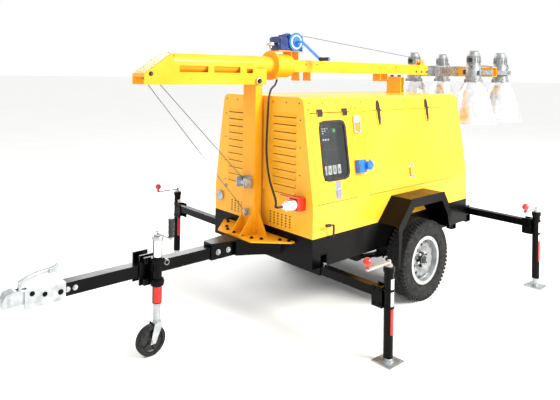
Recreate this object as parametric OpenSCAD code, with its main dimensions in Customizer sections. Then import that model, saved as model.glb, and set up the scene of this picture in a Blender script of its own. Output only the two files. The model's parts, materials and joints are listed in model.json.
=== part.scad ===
// Towable lighting tower: generator trailer with a tilting telescopic mast and four floodlights.
// Millimetres. Drawn from the axle line, then set down with the coupler's ball centre at the origin.

/* [Canopy] */

// Width of the canopy at its foot
canopy_width = 1188; // [1100:4:1300]
// Width of the canopy at the shoulder
shoulder_width = 970; // [900:2:1100]
// Height of the canopy foot above the ground
foot_height = 665; // [600:5:720]
// Height of the kink where the sides start to lean
kink_height = 900; // [800:5:1000]
// Height where the shoulder starts
shoulder_height = 1608; // [1500:2:1700]
// Height of the roof
roof_height = 1665; // [1620:1:1740]
// Panel sheet
sheet = 3; // [2:0.5:5]
// Louvres in one column
louvre_count = 11; // [6:1:12]

/* [Chassis] */

// Depth of the black base
base_depth = 213; // [150:1:240]
// Drawbar square tube
drawbar_size = 80; // [60:5:100]
// Height of the coupler's ball centre
ball_height = 530; // [400:5:560]
// Radius of the ball cup, for a 50 mm ball
cup_radius = 25.2; // [25:0.1:26]

/* [Wheels] */

// Tyre diameter
tyre_diameter = 650; // [560:5:700]
// Tyre width
tyre_width = 185; // [145:5:205]
// Distance from the middle to the outer face of the tyre
track_half = 790; // [760:5:850]

/* [Outriggers] */

// Outrigger beam square tube
beam_size = 60; // [50:2:70]
// Jack tube radius
jack_radius = 31.5; // [28:0.5:35]
// Jack foot side
foot_side = 150; // [120:5:200]

/* [Mast] */

// Outer mast square tube
mast_size = 100; // [80:2:120]
// Mast axis height when stowed
mast_height = 1903; // [1850:1:1950]
// Tilt pivot height
pivot_height = 1779; // [1700:1:1800]
// Lamp bell radius at its rim
bell_radius = 230; // [180:5:260]

/* [Hidden] */

$fn = 48;
axle_x = 2960;
front_x = -1137;
rear_x = 963;
half = canopy_width / 2;
shoulder = shoulder_width / 2;
base_z = foot_height - base_depth;
lean = atan2(half - shoulder, shoulder_height - kink_height);
pivot_x = -1235;
post_x = -1250;
plate_z = 600;
draw_z = 530;
arm_x = 1781;
rope_r = 3;
cable_r = 8;

// Outriggers: x, side, beam height, jack y, jack bottom height
near_front = [-1021, -1, 430, 1170, 30];
near_rear = [1007, -1, 545, 1240, 75];
far_front = [-1021, 1, 504, 1410, 75];
far_rear = [1007, 1, 471, 1240, 75];

// Lamps: x, y, side of the crossarm
lamp_a = [1483, 370, -1];
lamp_b = [2079, 370, 1];
lamp_c = [1483, -370, -1];
lamp_d = [2079, -370, 1];

// Mast cable route from the mast collar down to the power plug
cable_path = [
    [-998, -30, 1791.5], [-998, -30, 1778], [-1042, -58, 1746], [-1120, -104, 1714], [-1166, -134, 1650],
    [-1178, -140, 1560], [-1180, -134, 1410], [-1182, -132, 1270], [-1186, -150, 1140], [-1192, -186, 1034],
    [-1210, -240, 970], [-1252, -320, 925], [-1305, -388, 908], [-1348, -432, 905], [-1366, -460, 905],
    [-1352, -476, 905], [-1325.5, -476, 905]
];

module from_axle() translate([axle_x, 0, -ball_height]) children();

// Box from two corners
module block(a, b) translate(a) cube(b - a);

// Plate in the X-Z plane between two Y values
module side_plate(y0, y1, points) translate([0, y1, 0]) rotate([90, 0, 0]) linear_extrude(y1 - y0) polygon(points);

// Profile in the Y-Z plane between two X values
module cross_plate(x0, x1, points)
    translate([x0, 0, 0]) rotate([90, 0, 90]) linear_extrude(x1 - x0) polygon(points);

module rod_x(x0, x1, r) translate([x0, 0, 0]) rotate([0, 90, 0]) cylinder(r = r, h = x1 - x0);

module rod_y(y0, y1, r) translate([0, y1, 0]) rotate([90, 0, 0]) cylinder(r = r, h = y1 - y0);

module box_tube_x(x0, x1, outer, wall) difference() {
    block([x0, -outer / 2, -outer / 2], [x1, outer / 2, outer / 2]);
    block([x0 - 1, wall - outer / 2, wall - outer / 2], [x1 + 1, outer / 2 - wall, outer / 2 - wall]);
}

module box_tube_y(y0, y1, outer, wall) rotate([0, 0, 90]) box_tube_x(y0, y1, outer, wall);

// Cross-section of the canopy, drawn inwards by an inset
function shell(i) = [
    [half - i, foot_height], [half - i, kink_height], [shoulder - i, shoulder_height],
    [shoulder - 6 - i, shoulder_height + 25 - i / 2], [shoulder - 22 - i, shoulder_height + 43 - i],
    [shoulder - 52 - i / 2, roof_height - i], [52 + i / 2 - shoulder, roof_height - i],
    [22 + i - shoulder, shoulder_height + 43 - i], [6 + i - shoulder, shoulder_height + 25 - i / 2],
    [i - shoulder, shoulder_height], [i - half, kink_height], [i - half, foot_height]];

// Side wall from the foot to the shoulder, one side
module side_wall() cross_plate(front_x + sheet, rear_x - sheet, [
    [-half, foot_height], [-half, kink_height], [-shoulder, shoulder_height],
    [sheet - shoulder, shoulder_height], [sheet - half, kink_height], [sheet - half, foot_height]]);

// A flat door leaf in the leaning part of the near side
module door_leaf(x0, x1, bottom, top) translate([0, -half, kink_height]) rotate([-lean, 0, 0])
    block([x0, 0, bottom], [x1, 24, top]);

module side_rails() color("#161617") from_axle() difference() {
    for (s = [-1, 1]) scale([1, s, 1]) block([front_x, half - 60, base_z], [rear_x, half, foot_height]);
    for (s = [-1, 1]) scale([1, s, 1])
        block([front_x + 70, half - 61, base_z + 8], [rear_x - 6, half - 6, foot_height - 8]);
    block([-1059, -half - 1, base_z - 1], [-983, half + 1, 543]);
}

// Open channel across the base, between the side rails
module cross_rail(x0, x1, z0) difference() {
    block([x0, 60 - half, z0], [x1, half - 60, foot_height - 3]);
    block([x0 + 6, 59 - half, z0 + 6], [x1 - 6, half - 59, foot_height - 9]);
}

module base_frame() color("#1b1b1c") from_axle() {
    cross_rail(front_x, front_x + 60, base_z);
    cross_rail(rear_x - 60, rear_x, base_z);
    cross_rail(-300, -220, base_z + 60);
    cross_rail(220, 300, base_z + 60);
    block([front_x, 60 - half, foot_height - 3], [rear_x, half - 60, foot_height]);
}

module sleeve(x, z) translate([x, 0, z]) box_tube_y(-half, half, 73, 5);

module outrigger_sleeves() color("#161617") from_axle() {
    sleeve(near_front[0], near_front[2]);
    sleeve(far_front[0], far_front[2]);
    sleeve(near_rear[0], near_rear[2]);
    sleeve(far_rear[0], far_rear[2]);
    for (y = [-500, -160, 160, 500]) {
        block([rear_x, y - 30, far_rear[2] - 36], [near_rear[0] - 36.5, y + 30, near_rear[2] + 36]);
        block([near_front[0] - 40, y - 30, far_front[2] + 36.5], [near_front[0] + 40, y + 30, foot_height - 6]);
    }
}

module a_frame() color("#171718") from_axle() {
    difference() {
        block([-1620, -50, draw_z - 50], [-1400, 50, plate_z - 10]);
        block([-1621, -40.5, draw_z - 40.5], [-1399, 40.5, draw_z + 40.5]);
    }
    for (s = [-1, 1]) scale([1, s, 1]) translate([0, 0, base_z + 30])
        linear_extrude(plate_z - 10 - base_z - 30)
            polygon([[-1420, 50.5], [front_x, 150], [front_x, 260], [-1300, 150], [-1420, 82]]);
    translate([0, 0, plate_z - 10]) linear_extrude(10)
        polygon([[-1620, -50], [-1400, -90], [-1300, -170], [front_x, -300], [front_x, 300], [-1300, 170],
            [-1400, 90], [-1620, 50]]);
}

module drawbar() color("#131314") from_axle() {
    translate([0, 0, draw_z]) box_tube_x(-2690, -1390, drawbar_size, 5);
    block([-2185, -52, draw_z - 90], [-2080, -40, draw_z + 105]);
    block([-2185, 40, draw_z - 90], [-2080, 52, draw_z + 105]);
    block([-2170, -89, draw_z + 56], [-2070, -52, draw_z + 96]);
    block([-2170, -89, draw_z - 84], [-2070, -52, draw_z - 44]);
}

module coupler_body() color("#b9bdbd") from_axle() difference() {
    union() {
        difference() {
            block([-2960 + 70, -52, ball_height - 52], [-2660, 52, ball_height + 50]);
            block([-2700, -40.3, ball_height - 60], [-2659, 40.3, ball_height + 40.3]);
            block([-2960 + 69, -30, ball_height - 60], [-2740, 30, ball_height + 30]);
        }
        side_plate(-40, 40, [[-3004, 506], [-3004, 540], [-2985, 578], [-2940, 588], [-2880, 580], [-2880, 506]]);
        translate([-2960, 0, ball_height - 24]) cylinder(r = 44, h = 50);
    }
    translate([-2960, 0, ball_height - 25]) cylinder(r = cup_radius, h = 40);
    block([-2926, -16, ball_height + 8], [-2866, 16, ball_height + 62]);
    translate([-2850, 0, ball_height + 30]) rod_y(-60, 60, 8);
    translate([-2780, 0, ball_height + 10]) rod_y(-60, 60, 8);
}

module coupler_handle() color("#c9cdce") from_axle() {
    side_plate(-12, 12, [[-2912, 552], [-2894, 552], [-2894, 612], [-2800, 640], [-2720, 646], [-2720, 660],
        [-2805, 656], [-2912, 628]]);
    block([-2745, -20, 640], [-2700, 20, 664]);
    translate([-2903, 0, 578]) rod_y(-15.5, 15.5, 7);
}

module axle_springs() color("#1a1a1b") from_axle() {
    translate([0, 0, 325]) box_tube_y(-588, 588, 60, 6);
    for (s = [-1, 1]) scale([1, s, 1]) {
        translate([0, 0, 325]) rod_y(580, 660, 26.95);
        side_plate(470, 530, [[-560, 386], [-300, 362], [0, 355], [300, 362], [560, 386], [560, 400], [300, 376],
            [0, 369], [-300, 376], [-560, 400]]);
        for (x = [-560, 560]) side_plate(462, 538, [[x - 30, 380], [x + 30, 380], [x + 45, base_z],
            [x - 45, base_z]]);
        block([-40, 460, 355], [40, 540, 380]);
        for (x = [830, 890]) block([x - 6, 470, 380], [x + 6, 530, base_z]);
        block([824, 470, 374], [896, 530, 380]);
    }
}

module mudguards() color("#131314") from_axle() for (s = [-1, 1]) scale([1, s, 1]) {
    difference() {
        side_plate(half, track_half + 6, [[-399, 667], [-227, 855], [234, 855], [342, 686], [342, 540]]);
        side_plate(half - 1, track_half + 7, [[-399, 659], [-224, 850], [231, 850], [337, 684], [337, 539], [-399, 539]]);
    }
    side_plate(track_half + 6, track_half + 11, [[-404, 345], [-404, 669], [-229, 860], [236, 860], [347, 687],
        [347, 540], [320, 540], [290, 660], [205, 790], [-200, 790], [-355, 630], [-384, 345]]);
    side_plate(half, half + 6, [[-399, 659], [-224, 850], [231, 850], [337, 684], [337, 560], [300, 640],
        [200, 760], [-200, 760], [-330, 640]]);
}

module mast_post() color("#f2a71e") from_axle() {
    difference() {
        block([post_x, -75, plate_z + 12], [post_x + 67, 75, pivot_height + 34]);
        block([post_x + 6, -69, plate_z + 20], [post_x + 61, 69, pivot_height - 30]);
        translate([pivot_x, 0, pivot_height]) rod_y(-80, 80, 12.55);
    }
    translate([0, 0, plate_z]) linear_extrude(12)
        polygon([[-1384, -205], [-1170, -415], [-1140, -415], [-1140, 415], [-1170, 415], [-1384, 205]]);
    for (s = [-1, 1]) scale([1, s, 1]) cross_plate(-1222, -1210, [[75, plate_z + 12], [190, plate_z + 12],
        [75, plate_z + 200]]);
    for (y = [-60, 50]) side_plate(y, y + 10, [[post_x, plate_z + 12], [-1370, plate_z + 12], [post_x, plate_z + 170]]);
}

// Louvre hood over one slot
module hood(y, z, w) translate([front_x, y, z])
    side_plate(0, w, [[0, -16], [-14, -16], [-14, -13], [0, 10]]);

module canopy_front() color("#f0a41d") from_axle() {
    difference() {
        cross_plate(front_x, front_x + sheet, shell(0));
        for (i = [0:louvre_count - 1]) for (y = [-414, 157])
            block([front_x - 1, y + 6, 1535 - 57 * i - 14], [front_x + 5, y + 251, 1535 - 57 * i + 6]);
        for (y = [-355:44:-130]) for (z = [700:20:780]) for (s = [-1, 1]) scale([1, s, 1])
            block([front_x - 1, y - 9, z - 5], [front_x + 5, y + 9, z + 5]);
    }
    for (i = [0:louvre_count - 1]) for (y = [-414, 157]) hood(y, 1535 - 57 * i, 257);
    translate([0, 510, 792]) rod_x(front_x - 14, front_x, 42);
    translate([0, 440, 889]) rod_x(front_x - 8, front_x, 14);
}

module canopy_rear() color("#f3b32a") from_axle() difference() {
    cross_plate(rear_x - sheet, rear_x, shell(0));
    for (i = [0:9]) block([rear_x - 5, -330, 1100 + 40 * i], [rear_x + 1, 330, 1118 + 40 * i]);
}

module canopy_sides() color("#f7c62f") from_axle() for (s = [-1, 1]) scale([1, -s, 1]) difference() {
    side_wall();
    translate([0, -half, kink_height]) rotate([-lean, 0, 0]) {
        if (s < 0) block([-1084, -20, -2], [-644, 60, 660]);
        block([-502, -20, -4], [706, 60, 656]);
    }
}

module roof_panel() color("#f7cf4a") from_axle() {
    cross_plate(front_x + sheet, rear_x - sheet, concat(
        [for (i = [2:9]) shell(0)[i]], [for (i = [9:-1:2]) shell(sheet)[i]]));
    block([585, -95, roof_height], [655, 95, roof_height + 8]);
    for (x = [590, 642]) block([x, -85, roof_height + 8], [x + 8, 85, 1821]);
    block([590, -85, 1821], [650, 85, 1829]);
}

module genset() color("#3a3f42") from_axle() {
    for (y = [-150, 110]) block([-640, y, foot_height], [560, y + 40, foot_height + 80]);
    block([-60, -140, foot_height + 80], [420, 140, 1080]);
    block([-20, -90, 1080], [380, 90, 1180]);
    translate([0, 0, 900]) rod_x(-540, -60, 150);
    block([620, -300, foot_height], [690, 300, 1280]);
    translate([0, 0, 950]) rod_x(420, 600, 40);
    block([0, 220, foot_height], [500, 400, 880]);
    translate([0, -40, 1300]) rod_x(-60, 340, 60);
    block([100, -60, 1170], [140, -20, 1260]);
}

module control_panel() color("#222426") from_axle() translate([0, -half, kink_height]) rotate([-lean, 0, 0])
    block([-1070, 60, 20], [-660, 90, 640]);

module sockets() color("#d8452a") from_axle() {
    difference() {
        block([-1212, -521, 860], [front_x, -431, 950]);
        translate([0, -476, 905]) rod_x(-1213, -1160, 36.5);
    }
    side_plate(-519, -433, [[-1212, 950], [-1200, 950], [-1206, 958], [-1298, 986], [-1304, 978]]);
    translate([0, -half, kink_height]) rotate([-lean, 0, 0]) {
        block([-640, -42, 180], [-560, 0, 280]);
        translate([-540, -60, 230]) rotate([-90, 0, 0]) cylinder(r = 34, h = 60);
    }
}

module power_plug() color("#d9dad6") from_axle() translate([0, -476, 905]) {
    rod_x(-1285, -1160, 36);
    rod_x(-1308, -1285, 24);
    rod_x(-1325, -1308, 15);
}

// Round tube through a chain of points
function unit(v) = v / norm(v);
function ease(p, t, i) = let (a = p[max(i - 1, 0)], b = p[i], c = p[min(i + 1, len(p) - 1)],
    d = p[min(i + 2, len(p) - 1)]) 0.5 * (2 * b + (c - a) * t + (2 * a - 5 * b + 4 * c - d) * t * t
    + (3 * b - a - 3 * c + d) * t * t * t);
function smooth(p, n) = concat([for (i = [0:len(p) - 2]) for (k = [0:n - 1]) ease(p, k / n, i)], [p[len(p) - 1]]);
module tube_along(p, r, sides) {
    n = len(p);
    ring = [for (i = [0:n - 1]) let (d = unit(p[min(i + 1, n - 1)] - p[max(i - 1, 0)]),
        u = unit(cross(d, [0.12, 1, 0.07])), w = cross(d, u))
        for (k = [0:sides - 1]) p[i] + r * (u * cos(360 * k / sides) + w * sin(360 * k / sides))];
    walls = [for (i = [0:n - 2]) for (k = [0:sides - 1]) let (j = (k + 1) % sides)
        [i * sides + k, i * sides + j, (i + 1) * sides + j, (i + 1) * sides + k]];
    ends = [[for (k = [sides - 1:-1:0]) k], [for (k = [0:sides - 1]) (n - 1) * sides + k]];
    polyhedron(ring, concat(walls, ends), convexity = 8);
}

module mast_cable() color("#101011") from_axle() tube_along(smooth(cable_path, 4), cable_r, 10);

// One straight fall of wire rope in the middle plane
module fall(x0, z0, x1, z1) let (dx = x1 - x0, dz = z1 - z0)
    translate([x0, 0, z0]) rotate([0, atan2(dx, dz), 0]) cylinder(r = rope_r, h = norm([dx, dz]), $fn = 16);

module lift_ropes() color("#8d9193") from_axle() {
    fall(-2161, 1802, -1295, 792);
    fall(-2120, 1844, -1285, 1014);
}

module post_winch() color("#c3c7c8") from_axle() {
    block([-1262, -48, 955], [post_x, 48, 1045]);
    difference() {
        for (y = [-48, 40]) block([-1330, y, 962], [-1262, y + 8, 1040]);
        translate([-1298, 0, 1000]) rod_y(-49, 0, 8.05);
    }
    difference() {
        block([-1290, -8, 745], [post_x, 8, 795]);
        translate([-1274, 0, 768]) rod_y(-9, 9, 8);
    }
}

module post_winch_crank() color("#bfc3c5") from_axle() translate([-1298, 0, 1000]) {
    rod_y(-39, 39, 14);
    rod_y(-39, -36, 28);
    rod_y(36, 39, 28);
    rod_y(-66, -39, 8);
    rod_y(-66, -50, 30);
}

module jockey_tube() color("#efefec") from_axle() translate([-2094, -120, 0]) {
    difference() {
        translate([0, 0, 330]) cylinder(r = 30, h = 434);
        translate([0, 0, 329]) cylinder(r = 25, h = 425);
        translate([0, 0, 750]) cylinder(r = 8.1, h = 20);
    }
    for (z = [draw_z - 84, draw_z + 56]) difference() {
        translate([0, 0, z]) cylinder(r = 42, h = 40);
        translate([0, 0, z - 1]) cylinder(r = 29.9, h = 42);
        block([-60, 31, z - 1], [60, 60, z + 41]);
    }
}

module jockey_leg() color("#c9cccc") from_axle() translate([-2094, -120, 0]) difference() {
    translate([0, 0, 222]) cylinder(r = 24.5, h = 420);
    translate([0, 0, 300]) cylinder(r = 14, h = 350);
    translate([0, 0, 221]) cylinder(r = 10.05, h = 20);
}

module jockey_fork() color("#c3c7c8") from_axle() translate([-2094, -120, 0]) {
    translate([0, 0, 205]) cylinder(r = 28, h = 16.7);
    translate([0, 0, 221]) cylinder(r = 10, h = 19);
    for (s = [-1, 1]) scale([1, s, 1]) difference() {
        side_plate(32, 37, [[-60, 84], [-24, 84], [28, 205], [28, 211], [-30, 211]]);
        translate([-42, 0, 100]) rod_y(31, 38, 8.05);
    }
    block([-30, -37, 205], [28, 37, 211]);
}

module jockey_wheel() color("#151516") from_axle() translate([-2136, -120, 100]) {
    difference() {
        rod_y(-27, 27, 100);
        for (s = [-1, 1]) scale([1, s, 1]) rod_y(18, 28, 72);
    }
    rod_y(-31, 31, 20);
    rod_y(-40, 40, 8);
}

module jockey_crank() color("#c9cccd") from_axle() translate([-2094, -120, 0]) {
    translate([0, 0, 660]) cylinder(r = 8, h = 134);
    translate([0, 0, 766]) cylinder(r = 24, h = 14);
    block([-9, -170, 782], [9, 0, 790]);
    translate([0, -166, 776]) cylinder(r = 7, h = 40);
    translate([0, -166, 800]) cylinder(r = 17, h = 110);
}

// Hinge strap and knuckle on a side door, in the leaning frame of that side
module knuckle(x, w, drop) {
    block([x, -8, 652 - drop], [x + w, 0, 654]);
    translate([0, -6.2, 656]) rod_x(x, x + w, 5.5);
}

module control_door() color("#f7c62f") from_axle() {
    difference() {
        door_leaf(-1080, -648, 2, 654);
        translate([0, -half, kink_height]) rotate([-lean, 0, 0]) {
            block([-995, -1, 160], [-721, 30, 590]);
            block([-1070, 5, 12], [-658, 30, 646]);
        }
    }
    translate([0, -half, kink_height]) rotate([-lean, 0, 0]) for (x = [-1012, -738]) knuckle(x, 56, 24);
}

module main_door_near() color("#f7c62f") from_axle() door_with_hinges();

module door_with_hinges() {
    difference() {
        door_leaf(-498, 702, 0, 652);
        translate([0, -half, kink_height]) rotate([-lean, 0, 0]) block([-488, 5, 10], [692, 30, 642]);
    }
    translate([0, -half, kink_height]) rotate([-lean, 0, 0]) {
        for (x = [-318, 382]) knuckle(x, 52, 110);
        block([55, -14, 90], [112, 0, 160]);
    }
}

module main_door_far() color("#f7c62f") from_axle() scale([1, -1, 1]) door_with_hinges();

module rim(s) from_axle() scale([1, s, 1]) translate([0, 0, 325]) difference() {
    union() {
        rod_y(track_half - 168, track_half - 18, 178);
        rod_y(track_half - 174, track_half - 162, 195);
        rod_y(track_half - 24, track_half - 12, 195);
    }
    rod_y(track_half - 175, track_half - 75, 165);
    rod_y(track_half - 60, track_half - 11, 168);
    rod_y(track_half - 80, track_half - 55, 32);
    for (a = [0:72:359]) rotate([0, a, 0]) translate([0, 0, 120]) rod_y(track_half - 80, track_half - 55, 18);
}

module hub(s) from_axle() scale([1, s, 1]) translate([0, 0, 325]) {
    difference() {
        union() {
            rod_y(642, track_half - 75, 68);
            rod_y(track_half - 75, track_half - 30, 31.9);
        }
        rod_y(630, 665, 27);
    }
    for (a = [36:72:359]) rotate([0, a, 0]) translate([0, 0, 56]) rod_y(track_half - 60, track_half - 40, 11);
}

module near_rim() color("#c4c8ca") { rim(-1); hub(-1); }

module far_rim() color("#c4c8ca") { rim(1); hub(1); }

module tyre(s) from_axle() scale([1, s, 1]) translate([0, track_half - tyre_width / 2, 325])
    rotate([90, 0, 0]) rotate_extrude($fn = 96) polygon([[179, -68], [196, -68], [198, -84], [255, -92.5],
        [300, -88], [318, -70], [325, -40], [325, 40], [318, 70], [300, 88], [255, 92.5], [198, 84], [196, 68],
        [179, 68], [179, 58], [186, 58], [200, 72], [255, 80], [298, 76], [308, 60], [311, 38], [311, -38],
        [308, -60], [298, -76], [255, -80], [200, -72], [186, -58], [179, -58]]);

module near_tyre() color("#1b1c1c") tyre(-1);

module far_tyre() color("#1b1c1c") tyre(1);

module mast_cradle() color("#f6c93c") from_axle() {
    for (s = [-1, 1]) scale([1, s, 1]) {
        difference() {
            side_plate(77, 84, [[-2187, 1751], [-1149, 1751], [-1149, 1820], [-1149, 1875], [-1250, 1875],
                [-1250, 1905], [-1960, 1905], [-1985, 1965], [-2187, 1822]]);
            for (x = [-1925, -1640]) block([x, 76, 1838], [x + 235, 85, 1882]);
            block([-1345, 76, 1838], [-1285, 85, 1870]);
        }
        translate([pivot_x, 0, pivot_height]) rod_y(84, 98, 26);
    }
    block([-1935, -77, 1822], [-1149, 77, 1834]);
    side_plate(-77, 77, [[-2187, 1801], [-2178, 1801], [-2178, 1822], [-1985, 1957], [-1950, 1957],
        [-1950, 1965], [-1988, 1965], [-2187, 1826]]);
    translate([-998, -30, 1796]) cylinder(r = 14, h = 26);
    translate([pivot_x, 0, pivot_height]) rod_y(-98, 98, 12.5);
    translate([-2140, 0, 1823]) {
        rod_y(-77, 77, 9);
        rod_y(-14, 14, 25);
    }
    translate([0, 0, mast_height]) difference() {
        union() {
            rod_x(-1958, -1050, 71);
            rod_x(-1050, -1035, 117.5);
            rod_x(-1035, -872, 95);
        }
        rod_x(-1970, -871, 60.05);
        translate([-1042.5, 0, 90]) cylinder(r = 5.05, h = 30);
    }
}

module lock_knob() color("#c8cccd") from_axle() translate([-1042.5, 0, mast_height]) {
    translate([0, 0, 92]) cylinder(r = 5, h = 70);
    translate([0, 0, 146]) cylinder(r = 14, h = 10);
    translate([0, 0, 160]) cylinder(r = 36, h = 22);
}

module mast_outer() color("#f6d04a") from_axle() {
    translate([0, 0, mast_height]) {
        difference() {
            union() {
                box_tube_x(-870, 1108, mast_size, 4);
                rod_x(-1280, -871.5, 60);
                rod_x(-871.5, -850, 88);
                rod_x(-850, -700, 50);
            }
            rod_x(-1281, -849, 50);
            block([-860, -46, -46], [-690, 46, 46]);
        }
        for (x = [-762, -630, 320, 430]) block([x - 4, -46, -120], [x + 4, 46, -50]);
        for (x = [-862, -782]) block([x, -50, 50], [x + 6, 50, 115]);
        block([-1000, -62, 115], [-735, 62, 121]);
        for (y = [-30, 22]) side_plate(y, y + 8, [[1010, 50], [1090, 50], [1070, 112], [1030, 112]]);
        translate([1050, 0, 85]) rod_y(-22, 22, 24);
    }
}

module mast_winch() color("#1c3f94") from_axle() translate([0, 0, mast_height]) difference() {
    union() {
        for (y = [-62, 54]) block([-905, y, 121], [-745, y + 8, 245]);
        block([-905, -54, 121], [-745, 54, 127]);
        block([-1000, -60, 121], [-905, 60, 225]);
    }
    translate([-830, 0, 195]) rod_y(-63, 0, 10.05);
}

module mast_winch_crank() color("#2667c9") from_axle() translate([-830, 0, mast_height + 195]) {
    rod_y(-53, 53, 22);
    for (y = [-53, 47]) rod_y(y, y + 6, 62);
    rod_y(-130, -50, 10);
    rod_y(-78, -66, 76);
    side_plate(-130, -122, [[-14, 8], [14, 14], [238, -128], [226, -146]]);
    translate([226, 0, -134]) rod_y(-232, -122, 13);
}

module hoist_rope() color("#9da1a3") from_axle() fall(-800, 2168, 1046, 2018);

module mast_mid() color("#b8bcbe") from_axle() translate([0, 0, mast_height]) box_tube_x(-690, 1170, 84, 4);

module mast_inner() color("#b2b6b8") from_axle() translate([0, 0, mast_height]) {
    box_tube_x(-620, 1250, 68, 4);
    block([1250, -48, -60], [1256, 48, 48]);
    for (y = [-48, 42]) block([1256, y, -60], [1731, y + 6, 40]);
    block([1256, -42, -60], [1731, 42, -54]);
}

module crossarm() color("#e9a52a") from_axle() {
    translate([arm_x, 0, mast_height - 10]) box_tube_y(-453, 453, 100, 5);
    for (y = [-370, 370]) for (s = [-1, 1]) translate([arm_x, y, mast_height - 10]) scale([s, 1, 1]) {
        for (t = [-98, 90]) block([50, t, -30], [350, t + 8, 20]);
        block([50, -90, -30], [58, 90, 20]);
    }
}

// One floodlight: cast housing over a spun bell closed by its glass
module lamp(p) from_axle() translate([p[0], p[1], mast_height - 15]) {
    difference() {
        union() {
            translate([0, 0, 60]) cylinder(r = 66, h = 145);
            translate([0, 0, 205]) cylinder(r = 52, h = 20);
            translate([0, 0, -70]) cylinder(r = 80, h = 130);
            translate([0, 0, -114]) cylinder(r = 86, h = 45);
            rod_y(-89, 89, 16);
        }
        translate([0, 0, -115]) cylinder(r = 58, h = 305);
    }
    rotate_extrude($fn = 72) polygon([[60, -110], [86, -110], [150, -200], [200, -330], [224, -460],
        [bell_radius, -525], [bell_radius + 8, -528], [bell_radius + 8, -536], [bell_radius - 4, -536],
        [220, -460], [196, -330], [146, -200], [83, -114], [60, -114]]);
    translate([0, 0, -530]) cylinder(r = bell_radius - 3, h = 5);
    rotate([0, 0, p[2] > 0 ? 0 : 180]) translate([60, 0, 120]) rotate([0, 90, 0]) cylinder(r = 16, h = 40);
}

module lamp_far_front() color("#cfd3d4") lamp(lamp_a);

module lamp_far_rear() color("#cfd3d4") lamp(lamp_b);

module lamp_near_front() color("#cfd3d4") lamp(lamp_c);

module lamp_near_rear() color("#cfd3d4") lamp(lamp_d);

// Outrigger beam with its bracket and jack tube; positive y is outwards
module beam(p) from_axle() translate([p[0], 0, 0]) scale([1, p[1], 1]) {
    translate([0, 0, p[2]]) box_tube_y(p[3] - 1140, p[3] - 40, beam_size, 4);
    block([-38, p[3] - 44, p[2] - 90], [38, p[3] - 27.5, p[2] + 45]);
    for (x = [-38, 30]) block([x, p[3] - 110, p[2] - 90], [x + 8, p[3] - 26, p[2] + 45]);
    translate([0, p[3], 0]) difference() {
        union() {
            translate([0, 0, p[4]]) cylinder(r = jack_radius, h = 570);
            translate([0, 0, p[4] + 548]) cylinder(r = jack_radius + 6, h = 30);
        }
        translate([0, 0, p[4] - 1]) cylinder(r = jack_radius - 4, h = 563);
        translate([0, 0, p[4] + 550]) cylinder(r = 9.1, h = 40);
    }
}

module leg(p) from_axle() translate([p[0], p[3] * p[1], 0]) {
    difference() {
        cylinder(r = jack_radius - 5, h = p[4] + 420);
        translate([0, 0, 60]) cylinder(r = 15, h = p[4] + 420);
    }
    block([-foot_side / 2, -foot_side / 2, 0], [foot_side / 2, foot_side / 2, 8]);
    cylinder(r = 38, h = 14);
}

module crank(p) from_axle() translate([p[0], p[3] * p[1], p[4]]) {
    translate([0, 0, 500]) cylinder(r = 9, h = 112);
    translate([0, 0, 579]) cylinder(r = 20, h = 16);
    block([-225, -9, 600], [9, 9, 612]);
    translate([-218, 0, 600]) cylinder(r = 8, h = 60);
    translate([-218, 0, 655]) sphere(r = 27);
}

module beam_near_front() color("#131314") beam(near_front);
module leg_near_front() color("#c6cacb") leg(near_front);
module crank_near_front() color("#c9cccd") crank(near_front);
module beam_near_rear() color("#131314") beam(near_rear);
module leg_near_rear() color("#c6cacb") leg(near_rear);
module crank_near_rear() color("#c9cccd") crank(near_rear);
module beam_far_front() color("#131314") beam(far_front);
module leg_far_front() color("#c6cacb") leg(far_front);
module crank_far_front() color("#c9cccd") crank(far_front);
module beam_far_rear() color("#131314") beam(far_rear);
module leg_far_rear() color("#c6cacb") leg(far_rear);
module crank_far_rear() color("#c9cccd") crank(far_rear);

side_rails();
base_frame();
outrigger_sleeves();
a_frame();
drawbar();
coupler_body();
axle_springs();
mudguards();
mast_post();
canopy_front();
canopy_rear();
canopy_sides();
roof_panel();
genset();
control_panel();
sockets();
power_plug();
mast_cable();
lift_ropes();
post_winch();
post_winch_crank();
jockey_tube();
jockey_leg();
jockey_fork();
jockey_wheel();
jockey_crank();
control_door();
main_door_near();
main_door_far();
near_rim();
near_tyre();
far_rim();
far_tyre();
coupler_handle();
mast_cradle();
lock_knob();
mast_outer();
mast_winch();
mast_winch_crank();
hoist_rope();
mast_mid();
mast_inner();
crossarm();
lamp_far_front();
lamp_far_rear();
lamp_near_front();
lamp_near_rear();
beam_near_front();
leg_near_front();
crank_near_front();
beam_near_rear();
leg_near_rear();
crank_near_rear();
beam_far_front();
leg_far_front();
crank_far_front();
beam_far_rear();
leg_far_rear();
crank_far_rear();
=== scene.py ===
import json
import math

import bmesh
import bpy
from mathutils import Matrix, Vector

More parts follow.
